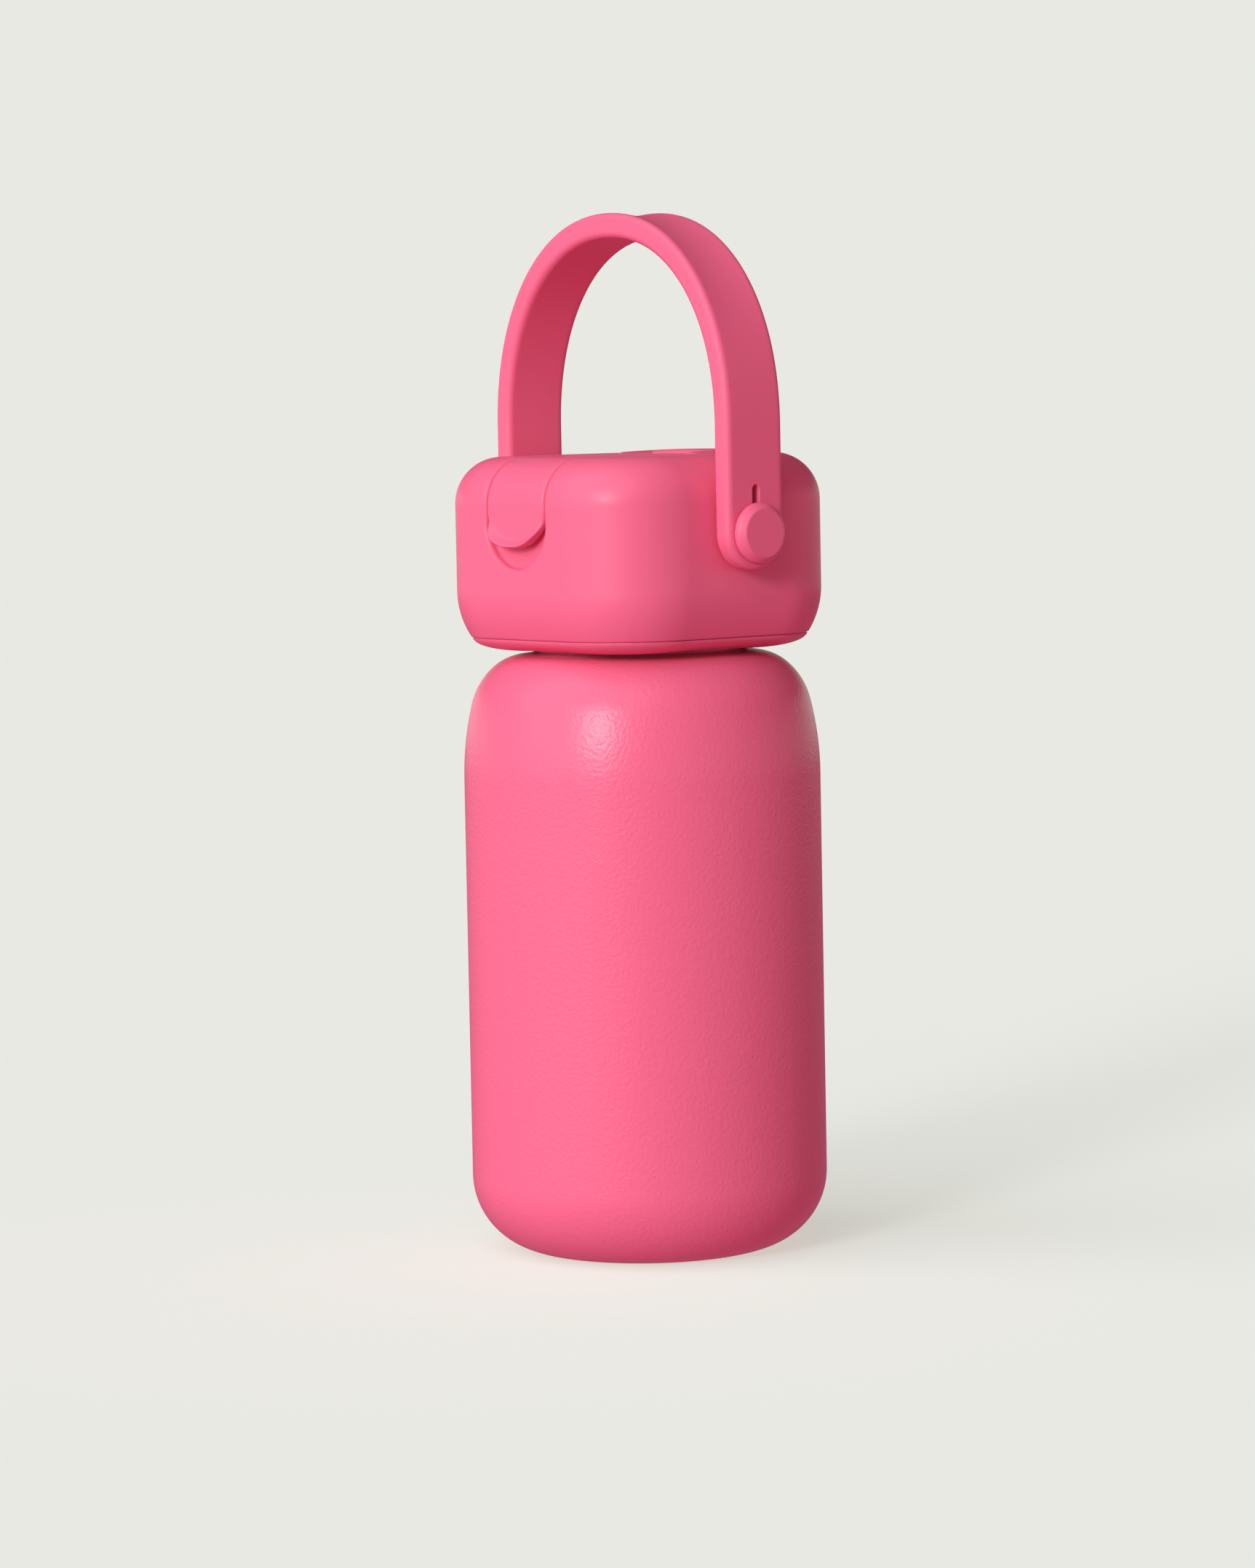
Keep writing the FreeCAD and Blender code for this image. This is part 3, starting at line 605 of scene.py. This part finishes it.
def base_shape(x, y, z):
    """The dished plate under the seam, round the collar, with a rib that stands in the lid."""
    side = rounded_box(x, y, BASE_HALF, BASE_HALF, BASE_CORNER)
    inset = np.maximum(1 + side / DISH_RUN, 0)
    depth = np.maximum(LID_SEAM - z, 0) / BASE_DEPTH
    dish = np.maximum((np.hypot(inset, depth) - 1) * DISH_SCALE, z - LID_SEAM - DISH_LAP)
    rib = rounded_box(x, y, SEAM_HALF - RIB_GAP, SEAM_HALF - RIB_GAP, RIB_CORNER)
    rib = np.maximum(rib, between(z, LID_SEAM - RIB_SINK, LID_SEAM + RIB_HEIGHT))
    return np.maximum(np.minimum(dish, rib), -disc(x, y, COLLAR_HOLE))


# ---------------------------------------------------------------- flap and hinge

TONGUE_CENTRE, TONGUE_DROP, TONGUE_POWER = 176.0, 9.2, 2.4
LIP_START, LIP_FADE, LIP_WIDTH, LIP_OUT, LIP_HOLLOW = 173.4, 5.0, 2.5, 2.35, 1.2
FRONT_FACE_Y = -20
LIP_ROOM, KNUCKLE_ROOM = 3, 4
FLAP_EDGE, FLAP_INNER_EDGE = 1.0, 0.35
KNUCKLE_RADIUS, KNUCKLE_FILLET, PIN_RADIUS, PIN_GRIP = 2.9, 0.5, 1.25, 0.05
EAR_GAP, EAR_EDGE = 0.4, 0.3
BLOCK_WALL_Y, BLOCK_DOME, BLOCK_CORNER, BLOCK_EDGE = 14.0, 0.33, 2.0, 1.6


def flap_shape(x, y, z):
    """The cover: a skin that follows the lid, narrowing to a tongue with a lifted lip."""
    outside = lid_block(x, y, z)
    drop = TONGUE_CENTRE - z
    fall = np.maximum(drop, 0) * FLAP_HALF / TONGUE_DROP
    tongue = (np.abs(x) ** TONGUE_POWER + fall ** TONGUE_POWER) ** (1 / TONGUE_POWER) - FLAP_HALF
    lip = ease((LIP_WIDTH + tongue) / LIP_WIDTH) * ease((LIP_START - z) / LIP_FADE) * (y < FRONT_FACE_Y)
    outer = outside - LIP_OUT * lip
    inner = -(outside + FLAP_WALL - LIP_HOLLOW * lip)
    side = np.where(drop > 0, tongue, np.abs(x) - FLAP_HALF)
    skin_part = meet(meet(outer, side, FLAP_EDGE), inner, FLAP_INNER_EDGE)
    skin_part = np.maximum(skin_part, y - HINGE_Y)
    knuckle = np.maximum(disc(y - HINGE_Y, z - HINGE_Z, KNUCKLE_RADIUS), np.abs(x) - FLAP_HALF)
    whole = join(skin_part, knuckle, KNUCKLE_FILLET)
    return np.maximum(whole, -disc(y - HINGE_Y, z - HINGE_Z, PIN_RADIUS))


def block_shape(x, y, z):
    """The raised hinge block with its two ears and a slightly domed top."""
    plan = rounded_box(x, y - BLOCK_MIDDLE, BLOCK_HALF, BLOCK_REACH, BLOCK_CORNER)
    notch = np.maximum(np.abs(x) - (FLAP_HALF + EAR_GAP), y - BLOCK_WALL_Y)
    plan = cut(plan, notch, EAR_EDGE)
    dome = (x / BLOCK_HALF) ** 2 + ((y - BLOCK_MIDDLE) / BLOCK_REACH) ** 2
    solid = np.maximum(meet(plan, z - BLOCK_TOP + BLOCK_DOME * dome, BLOCK_EDGE), POCKET_Z - z)
    return np.maximum(solid, -disc(y - HINGE_Y, z - HINGE_Z, PIN_RADIUS - PIN_GRIP))


# ---------------------------------------------------------------- strap and studs

STRAP_INNER, STRAP_OUTER = 37.6, 42.8
ARCH_LEVEL, ARCH_INNER, ARCH_POWER = 194.0, 44.0, 2.12
STRAP_EDGE = 1.6
END_RADIUS = 8.6
HOLE_RADIUS, SLIT_HALF, SLIT_TOP, KEYHOLE_EDGE = 4.05, 0.95, 179.5, 0.3
CROWN_DISH, CROWN_START, CROWN_RUN = 0.9, 205, 30


def arch(x, z, half, rise):
    """Distance outside a leg with an arch on it, the arch being a superellipse."""
    power = ARCH_POWER
    up = np.maximum(z - ARCH_LEVEL, 0) / rise
    over = np.maximum(np.abs(x) / half, 1e-6)
    reach = (over ** power + up ** power) ** (1 / power)
    lean_x = (over / reach) ** (power - 1) / half
    lean_z = (up / reach) ** (power - 1) / rise
    return (reach - 1) / np.hypot(lean_x, lean_z)


def strap_shape(x, y, z):
    """The strap: an arched band with soft edges, round ends and a keyhole in each."""
    outer = arch(x, z, STRAP_OUTER, STRAP_TOP - ARCH_LEVEL)
    dish = CROWN_DISH * ease((z - CROWN_START) / CROWN_RUN) * np.maximum(1 - (y / STRAP_HALF) ** 2, 0)
    inner = arch(x, z, STRAP_INNER, ARCH_INNER)
    band = np.maximum(outer + dish, -inner)
    end = np.hypot(y, (z - PIVOT_Z) * STRAP_HALF / END_RADIUS) - STRAP_HALF
    side = np.where(z > PIVOT_Z, np.abs(y) - STRAP_HALF, end)
    solid = meet(band, side, STRAP_EDGE)
    slit = np.where(z > SLIT_TOP, np.hypot(y, z - SLIT_TOP), np.abs(y)) - SLIT_HALF
    slit = np.maximum(slit, PIVOT_Z - z)
    keyhole = join(disc(y, z - PIVOT_Z, HOLE_RADIUS), slit, KEYHOLE_EDGE)
    return cut(solid, keyhole, KEYHOLE_EDGE)


STUD_SHAFT, STUD_HEAD, STUD_SHOULDER = 4.0, 7.0, 43.1
STUD_BEVEL, BEVEL_EDGE, FACE_EDGE = 1.3, 0.3, 0.15
CLIP_RADIUS, CLIP_START, CLIP_END = 3.2, 33.4, 34.6


def stud_shape(side):
    """The distance field of a mushroom stud on the +X side (1) or the -X side (-1)."""
    def shape(x, y, z):
        out = x * side
        across = np.hypot(y, z - PIVOT_Z)
        shaft = np.maximum(across - STUD_SHAFT, between(out, STUD_INNER, STUD_SHOULDER + 1))
        groove = np.maximum(CLIP_RADIUS - across, between(out, CLIP_START, CLIP_END))
        shaft = np.maximum(shaft, -groove)
        rim = np.maximum(across - STUD_HEAD, STUD_SHOULDER - out)
        bevel = (across - STUD_HEAD + out - (STUD_FACE - STUD_BEVEL)) / math.sqrt(2)
        head = meet(meet(rim, bevel, BEVEL_EDGE), out - STUD_FACE, FACE_EDGE)
        return np.minimum(shaft, head)
    return shape


# ---------------------------------------------------------------- settings a user would change

class ShakerLooks(bpy.types.PropertyGroup):
    """Colours and finishes."""

    coral: FloatVectorProperty(
        name="Coral", description="Colour of the coat, the plastic and the silicone",
        subtype="COLOR", size=3, default=(0.88, 0.16, 0.29), min=0, max=1)
    steel: FloatVectorProperty(
        name="Steel", description="Colour of the bare steel",
        subtype="COLOR", size=3, default=(0.72, 0.72, 0.71), min=0, max=1)
    rubber: FloatVectorProperty(
        name="Seals", description="Colour of the soft seals",
        subtype="COLOR", size=3, default=(0.05, 0.05, 0.055), min=0, max=1)
    gloss: FloatProperty(
        name="Gloss", description="How strongly the coral surfaces mirror", default=0.3, min=0, max=1)
    coat_roughness: FloatProperty(
        name="Coat roughness", description="How matte the painted body is", default=0.27, min=0, max=1)
    plastic_roughness: FloatProperty(
        name="Plastic roughness", description="How matte the lid is", default=0.38, min=0, max=1)
    strap_roughness: FloatProperty(
        name="Strap roughness", description="How matte the silicone strap is", default=0.5, min=0, max=1)
    peel_size: FloatProperty(
        name="Peel size", description="Width of one bump of the powder coat",
        unit="LENGTH", default=0.0009, min=0.0001, max=0.01)
    peel_depth: FloatProperty(
        name="Peel depth", description="Height of the powder coat's bumps",
        unit="LENGTH", default=0.00012, min=0, max=0.001)


class ShakerSizes(bpy.types.PropertyGroup):
    """How fine the meshes are."""

    turn_steps: IntProperty(
        name="Steps round", description="Faces round the bottle", default=192, min=24, max=512)
    lid_cell: FloatProperty(
        name="Lid detail", description="Size of the lid's faces",
        unit="LENGTH", default=0.00064, min=0.0003, max=0.004)
    small_cell: FloatProperty(
        name="Small detail", description="Size of the faces on small pieces",
        unit="LENGTH", default=0.0004, min=0.0002, max=0.004)
    strap_cell: FloatProperty(
        name="Strap detail", description="Size of the strap's faces",
        unit="LENGTH", default=0.0006, min=0.0003, max=0.004)


class ShakerStage(bpy.types.PropertyGroup):
    """Camera and light."""

    azimuth: FloatProperty(
        name="Azimuth", description="Where the camera stands round the bottle",
        subtype="ANGLE", default=math.radians(50.5))
    distance: FloatProperty(
        name="Distance", description="From the camera to the bottle's axis, on the level",
        unit="LENGTH", default=1.2188, min=0.3, max=5)
    height: FloatProperty(
        name="Height", description="Height of the camera above the floor",
        unit="LENGTH", default=0.206, min=0, max=3)
    pitch: FloatProperty(
        name="Pitch", description="How far the camera looks down",
        subtype="ANGLE", default=math.radians(4.51))
    pan: FloatProperty(
        name="Pan", description="How far the camera looks to the left",
        subtype="ANGLE", default=math.radians(0.167))
    roll: FloatProperty(
        name="Roll", description="How far the camera leans to its right",
        subtype="ANGLE", default=math.radians(1.1))
    lens: FloatProperty(
        name="Lens", description="Focal length", subtype="DISTANCE_CAMERA", default=118.9, min=20, max=300)
    key: FloatProperty(
        name="Key light", description="Strength of the soft key light", default=1.4, min=0, max=20)
    key_turn: FloatProperty(
        name="Key side", description="How far the key stands to the camera's left",
        subtype="ANGLE", default=math.radians(29))
    key_rise: FloatProperty(
        name="Key height", description="How high the key stands",
        subtype="ANGLE", default=math.radians(17))
    key_width: FloatProperty(
        name="Key width", description="How wide the key looks from the bottle",
        subtype="ANGLE", default=math.radians(15))
    side: FloatProperty(
        name="Side light", description="Strength of the wide side light", default=1.85, min=0, max=20)
    side_turn: FloatProperty(
        name="Side light's side", description="How far the wide light stands to the camera's left",
        subtype="ANGLE", default=math.radians(50))
    side_rise: FloatProperty(
        name="Side light's height", description="How high the wide light stands",
        subtype="ANGLE", default=math.radians(39))
    side_width: FloatProperty(
        name="Side light's width", description="How wide the side light looks from the bottle",
        subtype="ANGLE", default=math.radians(85))
    backdrop: FloatVectorProperty(
        name="Backdrop", description="Colour of the backdrop and of the floor in full light",
        subtype="COLOR", size=3, default=(0.807, 0.815, 0.768), min=0, max=1)
    paper: FloatProperty(
        name="Paper", description="How much of the light on the floor comes back", default=0.46, min=0, max=1)
    ceiling: FloatProperty(
        name="Ceiling", description="Light from overhead, as a part of the backdrop's",
        default=0.23, min=0, max=1)
    shade: FloatVectorProperty(
        name="Shade", description="Tint of the light that fills the shaded side",
        subtype="COLOR", size=3, default=(1.0, 0.3, 0.5), min=0, max=1)
    bounce: FloatProperty(
        name="Bounce", description="Light from below, as a part of the backdrop's",
        default=0.6, min=0, max=1)


def looks():
    return bpy.context.scene.shaker_looks


def sizes():
    return bpy.context.scene.shaker_sizes


def stage():
    return bpy.context.scene.shaker_stage


def material(name):
    """A finish of this bottle, made the first time it is asked for."""
    if name in bpy.data.materials:
        return bpy.data.materials[name]
    look = looks()
    makers = {
        "powder_coat": lambda: coat_finish(look),
        "lid_plastic": lambda: plastic_finish(look, "lid_plastic", look.plastic_roughness),
        "strap_silicone": lambda: plastic_finish(look, "strap_silicone", look.strap_roughness),
        "bare_steel": lambda: steel_finish(look),
        "pin_steel": lambda: plain_finish("pin_steel", look.steel, 0.2, 1.0),
        "soft_seal": lambda: plain_finish("soft_seal", look.rubber, 0.55),
        "getter_grey": lambda: plain_finish("getter_grey", (0.3, 0.3, 0.31), 0.7),
    }
    return makers[name]()


def place(item, body, slot, finish, *nodes):
    """Finish a piece: its material, the body that it rides on and the CAD nodes that it stands for."""
    wear(item, material(finish))
    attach(item, body)
    if nodes:
        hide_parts(*nodes)
    return item


class Maker:
    """What every building step has in common: it can be undone and its settings redone."""

    bl_options = {"REGISTER", "UNDO"}


class SHAKER_OT_shell(Maker, bpy.types.Operator):
    """Turn the painted steel shell and wind the screw ridge round its neck"""

    bl_idname = "shaker.shell"
    bl_label = "Painted shell"

    def execute(self, context):
        coat = material("powder_coat")
        shell = turned_solid("painted_shell", bottle_outline(), sizes().turn_steps, coat)
        place(shell, "bottle", "coral_coat", "powder_coat", "outer_shell")
        ridge = screw_ridge("neck_thread", NECK_RADIUS - THREAD_SINK, NECK_RADIUS + THREAD_DEPTH,
                            THREAD_LEVEL, THREAD_TURNS, coat)
        place(ridge, "bottle", "coral_coat", "powder_coat")
        return {"FINISHED"}


class SHAKER_OT_steel(Maker, bpy.types.Operator):
    """Give the steel cup, the base and the small metal pieces their finishes"""

    bl_idname = "shaker.steel"
    bl_label = "Bare steel"

    def execute(self, context):
        for node in ("inner_liner", "base_disc", "vacuum_plug"):
            wear_node(node, material("bare_steel"))
        for node in ("flap_hinge_pin", "stud_clip_left", "stud_clip_right"):
            wear_node(node, material("pin_steel"))
        wear_node("getter_disc", material("getter_grey"))
        return {"FINISHED"}


class SHAKER_OT_lid(Maker, bpy.types.Operator):
    """Shape the lid shell and the dished plate under it"""

    bl_idname = "shaker.lid"
    bl_label = "Lid"

    def execute(self, context):
        cell = sizes().lid_cell / MM
        half = LID_HALF
        lid = skin("lid_shell", lid_shape, (-half, -half, LID_SEAM), (half, half, LID_TOP), cell)
        place(lid, "lid", "coral_plastic", "lid_plastic", "lid_housing")
        base = skin("lid_dish", base_shape, (-half, -half, LID_SEAM - BASE_DEPTH),
                    (half, half, LID_SEAM + RIB_HEIGHT), cell)
        place(base, "lid", "coral_plastic", "lid_plastic", "lid_base")
        return {"FINISHED"}


class SHAKER_OT_inside(Maker, bpy.types.Operator):
    """Finish the moulded pieces inside the lid and the soft seals"""

    bl_idname = "shaker.inside"
    bl_label = "Inside of the lid"

    def execute(self, context):
        for node in ("lid_collar", "lid_deck", "spout", "vent_tube", "spout_plug", "mixing_grid"):
            wear_node(node, material("lid_plastic"))
        for node in ("lid_gasket", "vent_valve", "spout_gasket"):
            wear_node(node, material("soft_seal"))
        return {"FINISHED"}


class SHAKER_OT_flap(Maker, bpy.types.Operator):
    """Shape the flip cover and the hinge block behind it"""

    bl_idname = "shaker.flap"
    bl_label = "Flap and hinge"

    def execute(self, context):
        cell = sizes().small_cell / MM
        low = (-FLAP_HALF, -LID_HALF - LIP_ROOM, TONGUE_CENTRE - TONGUE_DROP - 1)
        high = (FLAP_HALF, HINGE_Y + KNUCKLE_ROOM, LID_TOP)
        flap = skin("flip_cover", flap_shape, low, high, cell)
        place(flap, "flap", "coral_plastic", "lid_plastic", "flap")
        block = skin("hinge_mount", block_shape, (-BLOCK_HALF, BLOCK_FRONT, POCKET_Z),
                     (BLOCK_HALF, BLOCK_BACK, BLOCK_TOP), cell)
        place(block, "lid", "coral_plastic", "lid_plastic", "hinge_block")
        return {"FINISHED"}


class SHAKER_OT_strap(Maker, bpy.types.Operator):
    """Shape the silicone strap and the studs that hold it"""

    bl_idname = "shaker.strap"
    bl_label = "Strap and studs"

    def execute(self, context):
        strap = skin("silicone_strap", strap_shape, (-STRAP_OUTER, -STRAP_HALF, PIVOT_Z - END_RADIUS),
                     (STRAP_OUTER, STRAP_HALF, STRAP_TOP), sizes().strap_cell / MM)
        place(strap, "handle", "coral_silicone", "strap_silicone", "carry_strap")
        cell = sizes().small_cell / MM
        for name, side in (("left", -1), ("right", 1)):
            ends = sorted((STUD_INNER * side, STUD_FACE * side))
            low = (ends[0], -STUD_HEAD, PIVOT_Z - STUD_HEAD)
            high = (ends[1], STUD_HEAD, PIVOT_Z + STUD_HEAD)
            stud = skin(f"stud_{name}", stud_shape(side), low, high, cell)
            place(stud, "lid", "coral_plastic", "lid_plastic", f"pivot_stud_{name}")
        return {"FINISHED"}


FLOOR_REACH = 60.0
# The plain band's edges, as the sine of their height, and its share of the sky's light on a level floor.
BAND_LOW, BAND_START, BAND_END, BAND_HIGH = -0.05, -0.03, 0.09, 0.16
BAND_SHARE = 0.016


def round_point(azimuth, distance, height):
    """A point at an azimuth round the bottle: 0 is in front of the flap and 90 is on the +X side."""
    return Vector((math.sin(azimuth) * distance, -math.cos(azimuth) * distance, height))


class SHAKER_OT_stage(Maker, bpy.types.Operator):
    """Set up the floor, the soft studio light and the camera"""

    bl_idname = "shaker.stage"
    bl_label = "Stage"

    def execute(self, context):
        settings = stage()
        self.make_floor(settings)
        self.make_light(context, settings)
        self.make_camera(context, settings)
        context.scene.view_settings.view_transform = "Standard"
        return {"FINISHED"}

    def make_floor(self, settings):
        """A flat sheet that adds its own light, so that where no shadow falls it equals the backdrop."""
        mesh = bpy.data.meshes.new("floor")
        ends = (-FLOOR_REACH, FLOOR_REACH)
        mesh.from_pydata([(x, y, 0) for y in ends for x in ends], [], [(0, 1, 3, 2)])
        floor = add_object("floor", mesh)
        beams = settings.key * math.sin(settings.key_rise) + settings.side * math.sin(settings.side_rise)
        own = []
        for tone, shade in zip(settings.backdrop, settings.shade):
            overhead = tone * (BAND_SHARE + (1 - BAND_SHARE) * shade * settings.ceiling)
            own.append(tone - settings.paper * (overhead + beams / math.pi))
        finish = Finish("floor_paper")
        finish.set(Base_Color=opaque([settings.paper] * 3), Roughness=1.0, Specular_IOR_Level=0.0,
                   Emission_Color=opaque(own), Emission_Strength=1.0)
        wear(floor, finish.material)
        floor.visible_diffuse = False
        floor.visible_glossy = False

    def make_light(self, context, settings):
        """A plain band round the horizon, dimmer tinted light over and under it, and two beams."""
        world = bpy.data.worlds.new("studio")
        world.use_nodes = True
        nodes, links = world.node_tree.nodes, world.node_tree.links
        direction = nodes.new("ShaderNodeTexCoord").outputs["Generated"]
        split = nodes.new("ShaderNodeSeparateXYZ")
        links.new(direction, split.inputs[0])
        level = nodes.new("ShaderNodeMapRange")
        links.new(split.outputs["Z"], level.inputs["Value"])
        level.inputs["From Min"].default_value = -1.0
        ramp = nodes.new("ShaderNodeValToRGB")
        links.new(level.outputs["Result"], ramp.inputs["Fac"])
        plain, shade = Vector((1, 1, 1)), Vector(settings.shade)
        tones = ((BAND_LOW, shade * settings.bounce), (BAND_START, plain),
                 (BAND_END, plain), (BAND_HIGH, shade * settings.ceiling))
        steps = ramp.color_ramp.elements
        for number, (height, part) in enumerate(tones):
            step = steps[number] if number < 2 else steps.new(1)
            step.position = (height + 1) / 2
            step.color = opaque(part * Vector(settings.backdrop))
        links.new(ramp.outputs["Color"], nodes["Background"].inputs["Color"])
        context.scene.world = world
        self.beam("key_light", settings, settings.key, settings.key_turn, settings.key_rise,
                  settings.key_width)
        self.beam("side_light", settings, settings.side, settings.side_turn, settings.side_rise,
                  settings.side_width)

    def beam(self, name, settings, power, turn, rise, width):
        """A far soft light, seen from the bottle as a disc of an angular width."""
        sun = bpy.data.lights.new(name, "SUN")
        sun.energy = power
        sun.angle = width
        item = add_object(name, sun)
        item.location = round_point(settings.azimuth - turn, math.cos(rise), math.sin(rise))
        item.rotation_euler = item.location.to_track_quat("Z", "Y").to_euler()

    def make_camera(self, context, settings):
        """A long lens as high as the bottle's strap, looking slightly down."""
        camera = bpy.data.cameras.new("camera")
        camera.sensor_fit = "AUTO"
        camera.sensor_width = 36.0
        camera.lens = settings.lens
        item = bpy.data.objects.new("camera", camera)
        stand = round_point(settings.azimuth, settings.distance, settings.height)
        forward = -round_point(settings.azimuth, 1, 0)
        turned = Matrix.Rotation(settings.pan, 3, "Z") @ forward
        right = turned.cross(Vector((0, 0, 1)))
        look = Matrix.Rotation(-settings.pitch, 3, right) @ turned
        up = right.cross(look)
        leaned = Matrix.Rotation(settings.roll, 3, look)
        axes = Matrix((leaned @ right, leaned @ up, -look)).transposed()
        item.matrix_world = Matrix.Translation(stand) @ axes.to_4x4()
        context.scene.collection.objects.link(item)
        context.scene.camera = item


class SHAKER_PT_panel(bpy.types.Panel):
    """The bottle's settings and building steps"""

    bl_idname = "SHAKER_PT_panel"
    bl_label = "Shaker Bottle"
    bl_space_type = "VIEW_3D"
    bl_region_type = "UI"
    bl_category = "Shaker"

    def draw(self, context):
        column = self.layout.column()
        for group in (context.scene.shaker_looks, context.scene.shaker_sizes, context.scene.shaker_stage):
            for name in group.bl_rna.properties.keys():
                if name not in ("rna_type", "name"):
                    column.prop(group, name)
        for step in STEPS:
            column.operator(step.bl_idname)


GROUPS = (ShakerLooks, ShakerSizes, ShakerStage)
STEPS = (SHAKER_OT_shell, SHAKER_OT_steel, SHAKER_OT_lid, SHAKER_OT_inside, SHAKER_OT_flap,
         SHAKER_OT_strap, SHAKER_OT_stage)


def register():
    for item in (*GROUPS, *STEPS, SHAKER_PT_panel):
        bpy.utils.register_class(item)
    bpy.types.Scene.shaker_looks = PointerProperty(type=ShakerLooks)
    bpy.types.Scene.shaker_sizes = PointerProperty(type=ShakerSizes)
    bpy.types.Scene.shaker_stage = PointerProperty(type=ShakerStage)


def unregister():
    del bpy.types.Scene.shaker_stage
    del bpy.types.Scene.shaker_sizes
    del bpy.types.Scene.shaker_looks
    for item in reversed((*GROUPS, *STEPS, SHAKER_PT_panel)):
        bpy.utils.unregister_class(item)


def main():
    register()
    for item in list(bpy.data.objects):
        if item.type in {"LIGHT", "CAMERA"} or item.name == "Cube":
            bpy.data.objects.remove(item)
    bpy.ops.shaker.shell()
    bpy.ops.shaker.steel()
    bpy.ops.shaker.lid()
    bpy.ops.shaker.inside()
    bpy.ops.shaker.flap()
    bpy.ops.shaker.strap()
    bpy.ops.shaker.stage()


if __name__ == "__main__":
    main()
